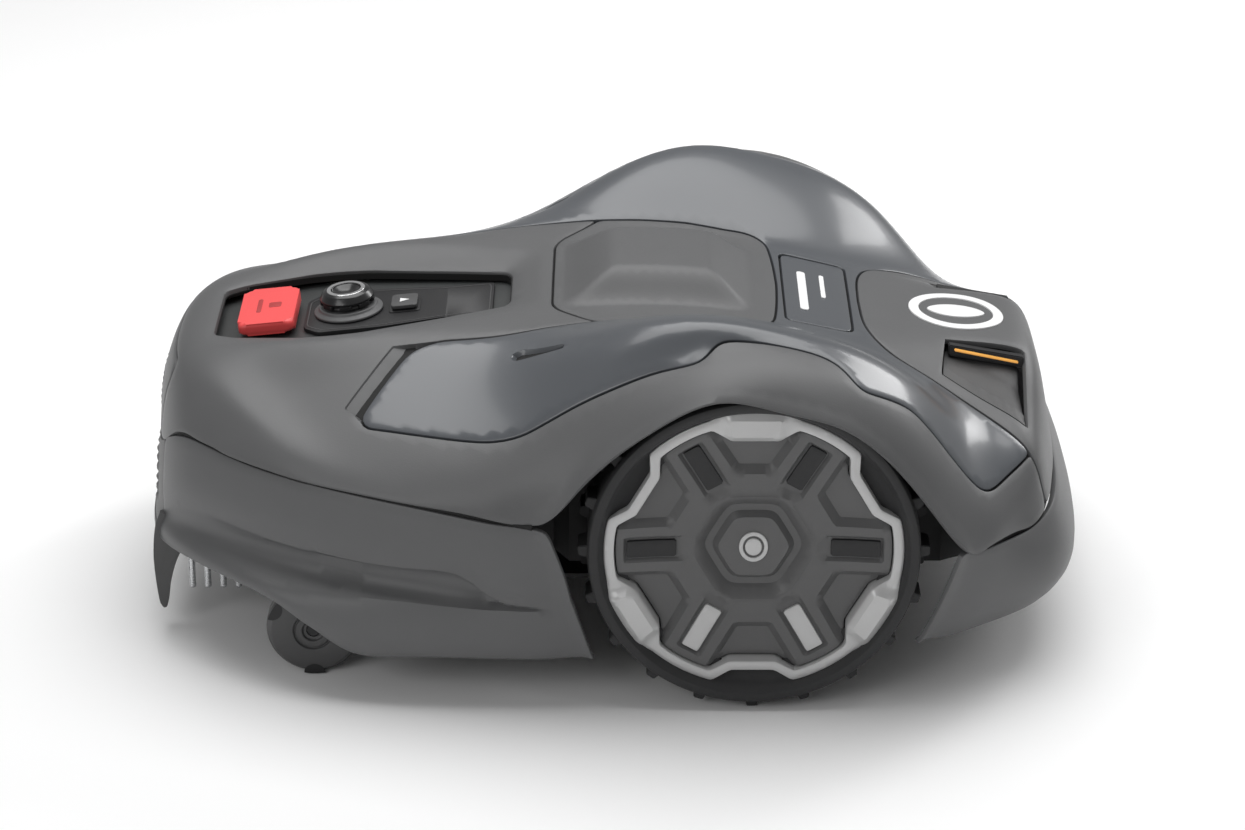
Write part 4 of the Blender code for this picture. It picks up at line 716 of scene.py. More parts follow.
def slab(mesh, outline, low, high, bevel=0.0, axis="Z", steps=2):
    """Add a bevelled solid with a flat outline between two levels to a bmesh."""
    outline = [tuple(p) for p in outline]
    made = bmesh.new()
    rows = []
    for level in (low, high):
        rows.append([made.verts.new({"Z": (a, b, level), "Y": (a, level, b), "X": (level, a, b)}[axis])
                     for a, b in outline])
    ends = [made.faces.new(rows[0]), made.faces.new(rows[1])]
    for k in range(len(outline)):
        n = (k + 1) % len(outline)
        made.faces.new((rows[0][k], rows[0][n], rows[1][n], rows[1][k]))
    if bevel:
        rim = list({edge for face in ends for edge in face.edges})
        bmesh.ops.bevel(made, geom=rim, offset=bevel, segments=steps, profile=0.5, affect="EDGES")
    absorb(mesh, made)


def box_outline(x0, x1, y0, y1, radius=0.001, steps=4):
    return rounded(((x0, y0), (x1, y0), (x1, y1), (x0, y1)), radius, steps)


def skinned(name, mat):
    """Give a CAD node that stays its procedural material."""
    data = NODES[name].data
    data.materials.clear()
    data.materials.append(mat)


# ---------------------------------------------------------------- camera, light and floor
camera = bpy.data.objects.new("camera", bpy.data.cameras.new("camera"))
bpy.context.scene.collection.objects.link(camera)
camera.data.lens = 105.0
camera.data.sensor_width = 36.0
camera.data.clip_start = 0.05
camera.location = (0.003 + MIDDLE, -2.1583, 1.0693)
camera.rotation_euler = (math.radians(66.0), 0.0, 0.0)
bpy.context.scene.camera = camera
bpy.context.scene.view_settings.view_transform = "Standard"

world = bpy.data.worlds.new("studio")
bpy.context.scene.world = world
world.use_nodes = True
world.node_tree.nodes["Background"].inputs["Color"].default_value = (1.0, 1.0, 1.0, 1.0)
world.node_tree.nodes["Background"].inputs["Strength"].default_value = 0.27


def softbox(name, place, aim, size, power):
    """Rectangular area light turned towards a point."""
    lamp = bpy.data.lights.new(name, "AREA")
    lamp.shape = "RECTANGLE"
    lamp.size, lamp.size_y = size
    lamp.energy = power
    obj = bpy.data.objects.new(name, lamp)
    obj.location = place
    obj.rotation_euler = (Vector(aim) - Vector(place)).to_track_quat("-Z", "Y").to_euler()
    bpy.context.scene.collection.objects.link(obj)


softbox("overhead", (0.05, 0.45, 2.0), (0.0, 0.3, 0.1), (2.4, 1.9), 46.0)
softbox("front_fill", (-1.3, -1.7, 1.2), (0.0, 0.0, 0.1), (1.3, 0.9), 10.0)
softbox("back_edge", (1.5, 1.3, 1.1), (0.1, 0.0, 0.1), (0.5, 1.0), 11.0)

ground = bmesh.new()
bmesh.ops.create_grid(ground, x_segments=2, y_segments=2, size=7.0)
ground_data = bpy.data.meshes.new("floor")
ground.to_mesh(ground_data)
ground.free()
floor = bpy.data.objects.new("floor", ground_data)
floor.location.z = -0.0002
bpy.context.scene.collection.objects.link(floor)
ground_data.materials.append(moulded("floor_paper", (.93, .93, .93), .85, grain=300.0, relief=.0,
                                     mottle=.004))


# ---------------------------------------------------------------- shapes pressed into the covers
def opening_level(x):
    """Height of the cover at the edge of the console opening."""
    return 0.1815 + (x + 0.2417) * 0.088


def dish(points):
    """The deck sinks from the rim round the console down to the edge of its opening."""
    plan = points[:, :2]
    rim, lip = away(RIM, plan), away(CONSOLE, plan)
    share = rim / (rim + lip + 1e-9)
    depth = np.minimum(0.0, opening_level(points[:, 0]) - points[:, 2])
    fall = depth * (0.72 * share + 0.28 * share ** 3)
    return np.where(inside(np.array(RIM), plan), fall, 0.0)


ARCH_S = np.linspace(8.0, 15.05, 150)
arch_edge = BODY.points(ARCH_S, np.full(150, 11.0))


def near_side(points):
    """The points folded onto the right-hand side."""
    return np.stack((points[:, 0], np.abs(points[:, 1]), points[:, 2]), axis=1)


def lipped(gone):
    """Valley that turns the last few millimetres before a wheel-arch edge outwards."""
    band = np.clip(gone / LIP_WIDTH, 0, 1)
    return -LIP_DEPTH * np.where(gone < LIP_WIDTH, band, 1 - ramp(gone, LIP_WIDTH, 5 * LIP_WIDTH))


def shell_shape(points, _params):
    folded = near_side(points)
    lift = dish(points)
    arch = away(arch_edge, folded, closed=False)
    lift = lift + lipped(arch)
    wall = np.where(inside(np.array(WEDGE), folded[:, :2]), away(WEDGE, folded[:, :2]), 0.0)
    fall = 0.0009 + 0.27 * np.clip(away(WEDGE[:2], folded[:, :2], closed=False), 0, .0135)
    return lift - fall * np.clip(wall / .0007, 0, 1)


WEDGE = ((-.1390, .0908), (-.1673, .1300), (-.1500, .1450), (-.1060, .0905))

CREST = [(-.0620, .1190), (-.0518, .1207), (-.0308, .1308), (-.0108, .1416), (.0137, .1513), (.0421, .155)]


DROP = ((-.0600, .1195), (-.0350, .1280))


def teardrop(share):
    """Level line of the scoop at the front of the crease."""
    t = np.linspace(0, 1, 14)
    x, y = DROP[0][0] + .0270 * t, DROP[0][1] + .0092 * t
    width = share * (.0016 + .0034 * np.clip((-.030 - x) / .030, 0, 1))
    upper = np.stack((x - .322 * width, y + .947 * width), axis=1)
    lower = np.stack((x + .322 * width, y - .947 * width), axis=1)
    nose = [(DROP[0][0] - width[0] * math.cos(a), DROP[0][1] - width[0] * math.sin(a)) for a in (-.6, 0, .6)]
    loop = np.concatenate((upper[::-1], nose, lower))
    return on_deck(np.concatenate((loop, loop[:1])))


def fender_shape(points, _params):
    """A soft crease along the crest that opens in a drop-shaped scoop at its front end."""
    folded = near_side(points)[:, :2]
    along = np.clip((folded[:, 0] + .062) / .104, 0, 1)
    off = away(CREST, folded, closed=False)
    crease = -0.0014 * np.exp(-(off / .0030) ** 2) * (1 - along) * (folded[:, 0] > -.064)
    drop = away(DROP, folded, closed=False)
    width = .0016 + .0034 * np.clip((-.030 - folded[:, 0]) / .030, 0, 1)
    scoop = -0.0042 * (1 - ramp(drop / width, 0.15, 1.0))
    return crease + scoop


def boss(points, _params):
    """Soft-sided boss on the module cover."""
    x, y = points[:, 0], np.abs(points[:, 1])
    along = np.maximum(0.0, np.maximum((-0.002 - x) / 0.033, (x - 0.056) / 0.029))
    out = np.maximum(0.0, (y - 0.034) / 0.022)
    fall = np.minimum(1.0, (along ** 5 + out ** 5) ** 0.2)
    crown = 0.0008 * (1 - np.clip(y / .034, 0, 1) ** 2) * (1 - fall)
    return 0.0165 * (1 - 0.62 * fall - 0.38 * ramp(fall, 0, 1)) + crown


# ---------------------------------------------------------------- covers
lip_end = BODY.snap([tuck((.213, .208, .107))])[0]
tail_foot = BODY.snap([tuck((.266, .148, .1125))])[0]
NOSE_Q = 2.35
NOSE_CUT = 2.6
shell_half = traced(BODY, (
    ("grid", ((1.95, 0.0), (1.95, NOSE_Q - 0.3), (1.6, NOSE_Q), (0.0, NOSE_Q))),
    ("grid", ((0.0, NOSE_Q), (0.0, 9.2), (0.35, 11.0))),
    ("grid", ((0.35, 11.0), (8.0, 11.0))),
    ("grid", ((8.0, 11.0), (lip_end[0], 11.0))),
    ("grid", ((lip_end[0], 11.0), (tail_foot[0], 11.0))),
    ("grid", ((tail_foot[0], 11.0), tuple(tail_foot))),
    ("straight", TAIL_SEAM[::-1]),
    ("free", FENDER_SEAM[::-1]),
    ("free", FENDER_NOSE),
    ("free", DECK_SEAM),
    ("straight", MODULE_NOSE)))


def turn_in(corners, distance):
    """Corners of a convex outline moved inwards along their bisectors."""
    middle = np.mean(corners, axis=0)
    out = []
    for back, at, ahead in zip(np.roll(corners, 1, axis=0), np.array(corners), np.roll(corners, -1, axis=0)):
        a, b = (back - at) / np.linalg.norm(back - at), (ahead - at) / np.linalg.norm(ahead - at)
        way = (a + b) / np.linalg.norm(a + b)
        way = way if (middle - at) @ way > 0 else -way
        out.append(at + way * distance / math.sqrt(max(0.05, (1 - a @ b) / 2)))
    return out


def wedge_line(corners):
    return on_deck(resample(np.array(list(corners) + [corners[0]]), .0025))


console_loop = on_deck(closed_resample(np.array(rounded(CONSOLE, .004)), .003))
rim_line = on_deck(closed_resample(np.array(rounded(RIM, .006)), .004))
shell_lines = both([beside(BODY, ARCH_S, 11.0, LIP_WIDTH), wedge_line(WEDGE),
                    wedge_line(turn_in(WEDGE, .0007))])
shell_lines.append(np.concatenate((rim_line, rim_line[:1])))
panel("top_cover", MATTE, BODY, soften(both_sides(shell_half)), [console_loop], nodes=["top_shell"],
      shape=shell_shape, lines=shell_lines, slot="cover")

fender_half = traced(BODY, (
    ("free", MODULE_TAIL[::-1]), ("straight", MODULE_SIDE[::-1]), ("free", DECK_SEAM[::-1]),
    ("free", FENDER_NOSE[::-1]), ("free", FENDER_SEAM), ("free", REAR_SEAM[::-1])))
plate_loop = on_deck(closed_resample(np.array(rounded(PLATE, .005, 4)), .003))
panel("fender_panel", GLOSS, BODY, soften(both_sides(fender_half)), [plate_loop], nodes=["fender_cover"],
      shape=fender_shape, slot="gloss_cover",
      lines=both([teardrop(share) for share in (.15, .45, .72, 1.0)]
                 + [on_deck([(x, y) for x, y in resample(CREST, .004) if x > -.026])]))

module_half = traced(BODY, (
    ("straight", MODULE_NOSE[::-1]), ("straight", MODULE_SIDE), ("free", MODULE_TAIL)))
module_lines = [on_deck(closed_resample(np.array(rounded(mirrored(((-.002, .034), (.056, .034))), .004, 4)),
                                        .003)),
                on_deck(closed_resample(np.array(rounded(mirrored(((-.035, .056), (.085, .056))), .010, 5)),
                                        .003))]
module_lines = [np.concatenate((line, line[:1])) for line in module_lines]
panel("module_lid", MATTE, BODY, soften(both_sides(module_half)), nodes=["module_cover"], shape=boss,
      lines=module_lines, step=.0034, slot="cover")
panel("label_panel", GLOSS, BODY, soften(plate_loop, 1), nodes=["label_plate"], step=.006,
      shape=raised(-.0003), slot="gloss_cover")

lamp_loops = {1: on_deck(closed_resample(np.array(LAMP), .003))}
lamp_loops[-1] = lamp_loops[1] * (1.0, -1.0)
rear_half = traced(BODY, (
    ("free", REAR_SEAM), ("straight", TAIL_SEAM), ("grid", (tuple(tail_foot), (18.93, 6.0), (18.95, 0.0)))))
panel("rear_lid", MATTE, BODY, soften(both_sides(rear_half)), [lamp_loops[1], lamp_loops[-1]],
      nodes=["rear_cover"], slot="cover")


def lamp_floor(points, _params):
    """The dark face sinks under the visor and comes up to the skin along its outer edge."""
    x, y = points[:, 0], np.abs(points[:, 1])
    edge = np.array(LAMP)[[3, 2]]
    outer = away(edge, np.stack((x, y), axis=1), closed=False)
    sink = np.clip(outer / 0.030, 0, 1)
    ridge = 0.0009 * np.exp(-((outer - .0085) / .0012) ** 2)
    return -0.0078 * sink - 0.0006 + ridge


for side, sign in SIDES:
    panel(side + "_lamp_face", DEEP, BODY, lamp_loops[sign], nodes=[side + "_marker_light"], step=.0032,
          shape=lamp_floor, gap=.0004, roll=.0005)
    visor = bmesh.new()
    section = ((.0452, .0000), (.0452, -.0075), (.0500, -.0082), (.0532, -.0060), (.0520, .0004))
    deck = BODY.points(*np.transpose(on_deck([(.2085, .050), (.2560, .050)])))
    skin_rows(visor, [[(x, sign * y, z + dz + .0004) for y, dz in section]
                      for x, z in ((.2085, deck[0][2]), (.2560, deck[1][2]))])
    bmesh.ops.bevel(visor, geom=list(visor.edges), offset=.0007, segments=2, affect="EDGES")
    new_object(side + "_lamp_visor", visor, BLACK, "covers")
    strip = bmesh.new()
    section = ((.0510, -.0010), (.0536, -.0016), (.0539, -.0028), (.0515, -.0036))
    skin_rows(strip, [[(x, sign * y, z + dz) for y, dz in section]
                      for x, z in ((.2120, deck[0][2]), (.2525, deck[1][2]))])
    bmesh.ops.bevel(strip, geom=list(strip.edges), offset=.0004, segments=2, affect="EDGES")
    new_object(side + "_lamp_strip", strip, AMBER, "covers", [side + "_lamp_bar"])


def ellipse(a, b, count):
    return [(.217 + a * math.cos(t), b * math.sin(t)) for t in np.linspace(0, 2 * math.pi, count,
                                                                           endpoint=False)]


EMBLEM = dict(gap=0.0, roll=.0003, skin=.0006, shape=raised(.0009), slot="badge_white")
panel("emblem_ring", WHITE, BODY, on_deck(ellipse(.0305, .0290, 72)), [on_deck(ellipse(.0240, .0220, 60))],
      nodes=["rear_emblem"], **EMBLEM)
leaf = [(.217 + .0185 * math.cos(t), .0098 * math.sin(t) * abs(math.sin(t)) ** .25)
        for t in np.linspace(0, 2 * math.pi, 48, endpoint=False)]
panel("emblem_leaf", WHITE, BODY, on_deck(leaf), **EMBLEM)
for k, (x0, x1, y0, y1) in enumerate(((.1155, .1210, -.034, .030), (.1300, .1330, -.008, .030))):
    bar = closed_resample(np.array(box_outline(x0, x1, y0, y1, .0024, 5)), .0015)
    panel("label_mark_%d" % (k + 1), WHITE, BODY, on_deck(bar), gap=0.0, roll=.0002, skin=.0004, step=.004,
          shape=raised(.0004), slot="badge_white")

# ---------------------------------------------------------------- nose and bumpers
nose_half = traced(BODY, (
    ("grid", ((0.0, 0.0), (0.0, NOSE_Q))),
    ("grid", ((0.0, NOSE_Q), (1.6, NOSE_Q), (1.95, NOSE_Q - 0.3), (1.95, 0.0)))))


def nose_ribs(points, _params):
    """Seven short upright ribs across the nose."""
    y = points[:, 1]
    wave = ramp(np.cos(y / .0085 * 2 * math.pi), .1, .7)
    band = ramp(points[:, 2], .127, .130) * (1 - ramp(points[:, 2], .148, .151))
    return .0008 * wave * band * (np.abs(y) < .0297)


panel("nose_panel", MATTE, BODY, soften(both_sides(nose_half)), nodes=["nose_plate"], shape=nose_ribs,
      step=.0026, slot="cover")
BELT_ROW = FRONT.s_max
insert_half = traced(FRONT, (
    ("grid", ((BELT_ROW, 0.0), (BELT_ROW, NOSE_CUT), (1.2, NOSE_CUT), (1.2, 0.0))),))


def hatch(points, _params):
    """Slanted ribs pressed into the lower nose."""
    run = points[:, 2] + 0.55 * points[:, 1]
    wave = ramp(np.cos(run / .0068 * 2 * math.pi), -.2, .6)
    band = ramp(points[:, 2], .070, .073) * (1 - ramp(points[:, 2], .104, .107))
    return -.0007 + .0014 * wave * band * (np.abs(points[:, 1]) < .052)


panel("nose_grille", DEEP, FRONT, soften(both_sides(insert_half)), nodes=["nose_insert"], shape=hatch,
      step=.0022, cell=(.010, .026), slot="console_gloss")

RIDGE = ((-.2780, .1005), (-.2731, .0986), (-.2325, .0962), (-.1897, .0947), (-.1563, .0935), (-.1285, .0939),
         (-.1080, .0950), (-.0960, .0935), (-.0870, .0880), (-.0790, .0800), (-.0700, .0745), (-.0558, .0729),
         (-.0400, .0712))
FLARE = ((-.2780, .0640), (-.2671, .0647), (-.2462, .0672), (-.2170, .0692), (-.1658, .0705), (-.1271, .0708),
         (-.0830, .0696), (-.0413, .0689), (-.0385, .0690))
HEM = ((-.2000, .0560), (-.1850, .0500), (-.1768, .0456), (-.1657, .0412), (-.1551, .0388), (-.1292, .0383),
       (-.0941, .0384), (-.0180, .0385))


def level(line, x):
    return np.interp(x, [p[0] for p in line], [p[1] for p in line])


skirt_edge = FRONT.points(np.linspace(0, 7, 90), np.full(90, FRONT.q_max))


def skirt_shape(points, _params):
    """Long scoop under a soft ridge, a chamfered hem and a chamfered wheel-arch edge."""
    folded = near_side(points)
    x, z = folded[:, 0], folded[:, 2]
    top, foot = level(RIDGE, x), level(FLARE, x)
    t = np.clip((top - z) / np.maximum(top - foot, 1e-4), 0, 1)
    depth = .0070 * ramp(x, -.272, -.150) * (1 - ramp(x, -.050, -.0395))
    wall = np.clip((top - foot) / .012, 0.25, 1)
    scoop = -depth * wall * 2.9 * t ** 0.6 * (1 - t)
    ridge = .0015 * np.exp(-((z - top - .0012) / .0022) ** 2) * ramp(x, -.270,
                                                                     -.200) * (1 - ramp(x, -.055, -.040))
    arch = away(skirt_edge, folded, closed=False)
    lip = lipped(arch)
    hem = -.0030 * np.clip((level(HEM, x) - z) / .007, 0, 1) * ramp(x, -.205, -.185)
    return scoop + ridge + lip + hem


def skirt_line(line):
    """Parameter line on the skirt along a profile of (x, z)."""
    run = resample(line, .004)
    guess = np.interp(run[:, 0], [-.285, -.240, -.205, -.160, -.112, -.075, -.030],
                      [.100, .145, .172, .187, .198, .205, .208])
    marks = FRONT.snap(np.column_stack((run[:, 0], guess, run[:, 1])))
    return marks[(marks[:, 0] > .08) & (marks[:, 0] < FRONT.s_max - .08) & (marks[:, 1] < FRONT.q_max - .25)]


front_half = traced(FRONT, (
    ("grid", ((1.2, 0.0), (1.2, NOSE_CUT), (BELT_ROW, NOSE_CUT))),
    ("grid", ((BELT_ROW, NOSE_CUT), (BELT_ROW, FRONT.q_max))),
    ("grid", ((BELT_ROW, FRONT.q_max), (0.0, FRONT.q_max))),
    ("grid", ((0.0, FRONT.q_max), (0.0, 0.0)))))
lowered = [(x, z - .0022) for x, z in RIDGE]
skirt_lines = both([skirt_line(RIDGE), skirt_line(FLARE), skirt_line(HEM), skirt_line(lowered),
                    beside(FRONT, np.linspace(.3, 6.8, 80), FRONT.q_max, LIP_WIDTH)])
panel("front_skirt", MATTE, FRONT, soften(both_sides(front_half)), nodes=["front_bumper"], shape=skirt_shape,
      lines=skirt_lines, cell=(.011, .033), step=.0042, slot="cover")

tail_edge = REAR.points(np.linspace(0, 4, 60), np.full(60, REAR.q_max))


def tail_shape(points, _params):
    arch = away(tail_edge, near_side(points), closed=False)
    hem = -.0022 * np.clip(1 - away(tail_hem, near_side(points), closed=False) / .006, 0, 1)
    return lipped(arch) + hem


tail_hem = REAR.points(np.full(120, 4.0), np.linspace(0, REAR.q_max, 120))
rear_loop = traced(REAR, (
    ("grid", ((0.0, 0.0), (0.0, REAR.q_max))), ("grid", ((0.0, REAR.q_max), (REAR.s_max, REAR.q_max))),
    ("grid", ((REAR.s_max, REAR.q_max), (REAR.s_max, 0.0)))))
panel("rear_skirt", MATTE, REAR, soften(both_sides(rear_loop)), nodes=["rear_bumper"], shape=tail_shape,
      lines=both([beside(REAR, np.linspace(.25, 3.75, 60), REAR.q_max, LIP_WIDTH)]), cell=(.017, .030),
      slot="cover")

# ---------------------------------------------------------------- near-black liners behind the seams: painted shade seen through the gaps
def liner_shape(points, _params):
    return dish(points) - .0030


# the belt is row 11 of the body sheet; the liner and the seam strips stop just inside it
LINER_Q = 10.85
STRIP_Q = 10.95
LINER_NOSE, LINER_TAIL = .15, 18.85
liner_half = traced(BODY, (
    ("grid", ((LINER_NOSE, 0.0), (LINER_NOSE, LINER_Q))),
    ("grid", ((LINER_NOSE, LINER_Q), (LINER_TAIL, LINER_Q))),
    ("grid", ((LINER_TAIL, LINER_Q), (LINER_TAIL, 0.0)))), step=.012)
wide_lamp = {sign: on_deck([(x + dx, sign * (y + dy)) for (x, y), (dx, dy) in
                            zip(LAMP, ((-.003, -.003), (.003, -.003), (.003, .003), (-.003, .003)))])
             for sign in (1, -1)}
# the liner's near-black is painted shade, showing dark through the seams and round the console and lamps
panel("cover_liner", SHADE, BODY, both_sides(liner_half), [on_deck(rounded(CONSOLE, .004, 2)), wide_lamp[1],
      wide_lamp[-1]], shape=liner_shape, step=.009, gap=.0004, roll=.0004, skin=.0006, slot="chassis_plastic")


# a short near-black wall under the edge of the console opening keeps daylight out of the gap; its black is
# painted shade
curtain = bmesh.new()
wall = closed_resample(np.array(rounded(CONSOLE, .004, 3)), .004)
middle = wall.mean(axis=0)
rows = []
for x, y in wall:
    way = np.array((x, y)) - middle
    way = way / np.linalg.norm(way)
    lip = opening_level(x)
    rows.append([(x + way[0] * d, y + way[1] * d, lip + h)
                 for d, h in ((.0008, -.0015), (.0008, -.0056), (.0018, -.0056), (.0018, -.0015))])
skin_rows(curtain, rows, closed=True)
new_object("console_curtain", curtain, SHADE, "covers")


def seam_strip(name, points, inward, drop):
    """Thin upright band that closes the seam between a cover and a bumper from behind; its near-black is
    painted shade that makes the seam read as a dark line.
    """
    points = np.array(points)
    run = np.gradient(points, axis=0)
    out = np.stack((run[:, 1], -run[:, 0]), axis=1)
    out /= np.linalg.norm(out, axis=1, keepdims=True)
    if ((points[:, :2] * out).sum(axis=1)).mean() < 0:
        out = -out
    mesh = bmesh.new()
    rows = []
    for (x, y, z), (nx, ny) in zip(points, out):
        rows.append([(x - nx * d, y - ny * d, z + h)
                     for d, h in ((inward, .0003), (inward, -drop), (inward + .001, -drop),
                                  (inward + .001, .0003))])
    skin_rows(mesh, rows)
    return new_object(name, mesh, SHADE, "covers")


for name, s_end, s_start, drop in (("front_seam_strip", 0.05, 7.8, .0075),
                                   ("rear_seam_strip", 18.9, 15.9, .004)):
    track = even(BODY, ((s_start, STRIP_Q), (s_end, STRIP_Q), (s_end, 0), (s_end, -STRIP_Q),
                        (s_start, -STRIP_Q)), .006)
    seam_strip(name, BODY.points(track[:, 0], track[:, 1]), .0017, drop)


# ---------------------------------------------------------------- driven wheels
class Face(Surface):
    """Flat sheet; parameters are metres along two directions, heights are measured from its level."""

    def __init__(self, origin, along, up):
        self.origin, self.along, self.up = (np.array(v, dtype=float) for v in (origin, along, up))
        self.s_max = self.q_max = 1.0

    def points(self, s, q):
        s, q = np.asarray(s, dtype=float), np.asarray(q, dtype=float)
        return self.origin + s[..., None] * self.along + q[..., None] * self.up

    def frames(self, s, q, step=1e-3):
        shape = np.asarray(s, dtype=float).shape + (3,)
        return (np.broadcast_to(self.along, shape), np.broadcast_to(self.up, shape),
                np.broadcast_to(np.cross(self.along, self.up), shape))


def polar(radius, degrees):
    return (radius * math.cos(math.radians(degrees)), radius * math.sin(math.radians(degrees)))


def arc(radius, start, end, step=3.0):
    count = max(2, int(abs(end - start) / step))
    return [polar(radius, angle) for angle in np.linspace(start, end, count)]


def cap_contour():
    """Round hub cap with six flats pressed inwards."""
    out = []
    for k in range(6):
        middle = 30 + 60 * k
        out += [polar(.0746, middle - 11), polar(.0746, middle + 11)] + arc(.0838, middle + 18, middle + 42)
    return closed_resample(np.array(rounded(out, .0012, 3)), .0018)


def trim_contour():
    """Silver ring: three pads reach out, three steps cut in."""
    out = []
    for k in range(3):
        pad, step = 90 + 120 * k, 150 + 120 * k
        out += [polar(.0912, pad - 16.8)] + arc(.0955, pad - 12.3, pad + 12.3) + [polar(.0912, pad + 16.8)]
        out += arc(.0910, pad + 20, step - 17) + [polar(.0905, step - 15.6), polar(.0812, step - 9.3),
                                                  polar(.0812, step + 9.3), polar(.0905, step + 15.6)]
        out += arc(.0910, step + 17, pad + 120 - 20)
    return closed_resample(np.array(rounded(out, .0016, 3)), .0018)


def sector(params, offset=0.0):
    """Coordinates along and across the nearest of six spokes."""
    angle = np.degrees(np.arctan2(params[:, 1], params[:, 0])) - offset
    turn = np.radians(angle - 60 * np.round(angle / 60))
    radius = np.hypot(params[:, 0], params[:, 1])
    return radius * np.cos(turn), radius * np.sin(turn)


def hexagon(params):
    """Distance of a point measured towards the flats of a rounded hexagon."""
    a, b = params[:, 0], params[:, 1]
    reach = [np.abs(a * math.cos(math.radians(t)) + b * math.sin(math.radians(t))) for t in (30, 90, 150)]
    return (sum(r ** 12 for r in reach) / 1.25) ** (1 / 12)


def slope(value, low, high):
    return np.clip((value - low) / (high - low), 0.0, 1.0)


def cap_base(radius):
    return np.interp(radius, [0, .030, .060, .0835], [.0, .0, .0018, .0046])


def cap_shape(_points, params):
    radius = np.hypot(params[:, 0], params[:, 1])
    u, v = sector(params)
    groove = .0024 * slope(u, .0385, .0440) * (1 - slope(u, .0772, .0785)) * (1 - slope(np.abs(v), .0066,
                                                                                        .0086))
    a, b = sector(params, 30.0)
    half = .0100 + (a - .0527) * .60
    pocket = .0046 * slope(a, .0495, .0545) * (1 - slope(np.abs(b), half - .0018, half + .0034))
    rho = hexagon(params)
    well = .0058 * (1 - slope(rho, .0262, .0318)) - .0006 * (1 - slope(np.abs(rho - .0335), 0, .0014))
    boss = .0038 * (1 - slope(rho, .0190, .0222))
    return cap_base(radius) - groove - pocket - well + boss


def hex_ring(apothem, step=.0018):
    """Loop on which the rounded-hexagon distance is constant."""
    ring = []
    for degrees in np.arange(0, 360, math.degrees(step / apothem)):
        point = np.array([polar(1.0, degrees)])
        ring.append(tuple(point[0] * apothem / hexagon(point)[0]))
    return np.array(ring + ring[:1])


def turned(points, degrees):
    turn = math.radians(degrees)
    return np.array([(a * math.cos(turn) - b * math.sin(turn), a * math.sin(turn) + b * math.cos(turn))
                     for a, b in points])


def cap_lines():
    lines = [hex_ring(rho) for rho in (.0349, .0335, .0318, .0262, .0222, .0190)]
    for k in range(6):
        for start, end, half in ((.0385, .0785, .0086), (.0440, .0772, .0066)):
            loop = closed_resample(np.array(box_outline(start, end, -half, half, .0016, 4)), .0018)
            lines.append(turned(np.concatenate((loop, loop[:1])), 60 * k))
        for start, spread in ((.0495, .0034), (.0545, -.0018)):
            side = [(a, .0100 + (a - .0527) * .60 + spread) for a in (.078, start)]
            line = resample(side + [(a, -b) for a, b in reversed(side)], .0018)
            lines.append(turned(line, 30 + 60 * k))
    return lines


def trim_shape(_points, params):
    """Rounded ring that stands prouder at its three pads."""
    angle = np.degrees(np.arctan2(params[:, 1], params[:, 0])) - 90
    off = np.abs(angle - 120 * np.round(angle / 120))
    radius = np.hypot(params[:, 0], params[:, 1])
    along = radius * np.cos(np.radians(off))
    pad = .0028 * (1 - slope(off, 10.0, 13.4)) * (1 - slope(along, .0880, .0945)) * slope(along, .0735, .0775)
    pad += .0006 * (1 - slope(off, 11.0, 16.0))
    return pad - .0010 * slope(radius, .0885, .0925)


def tyre_outline(sign):
    return [(r, sign * y) for r, y in (
        (.0780, .1900), (.0780, .1915), (.0850, .1925), (.0895, .1955), (.0915, .1985), (.0940, .2026),
        (.0950, .2030),
        (.0978, .2030), (.0992, .2024), (.1003, .2005), (.1005, .1970), (.1005, .1565), (.0995, .1540),
        (.0970, .1530), (.0900, .1545), (.0890, .1600), (.0890, .1850))]


def loop_at(inner, outer, spin):
    return turned(closed_resample(np.array(box_outline(*inner, *outer, .0012, 4)), .0018), spin)


CAP_LOOP = cap_contour()
TRIM_LOOP = trim_contour()
CAP_LINES = cap_lines()
TRIM_LINES = []
for k in range(3):
    for half, low, high in ((10.0, .0775, .0880), (13.4, .0735, .0945)):
        corner = math.tan(math.radians(half))
        frame_line = ((low, -low * corner), (high, -high * corner), (high, high * corner),
                      (low, low * corner))
        TRIM_LINES.append(turned(resample(frame_line + frame_line[:1], .002), 90 + 120 * k))

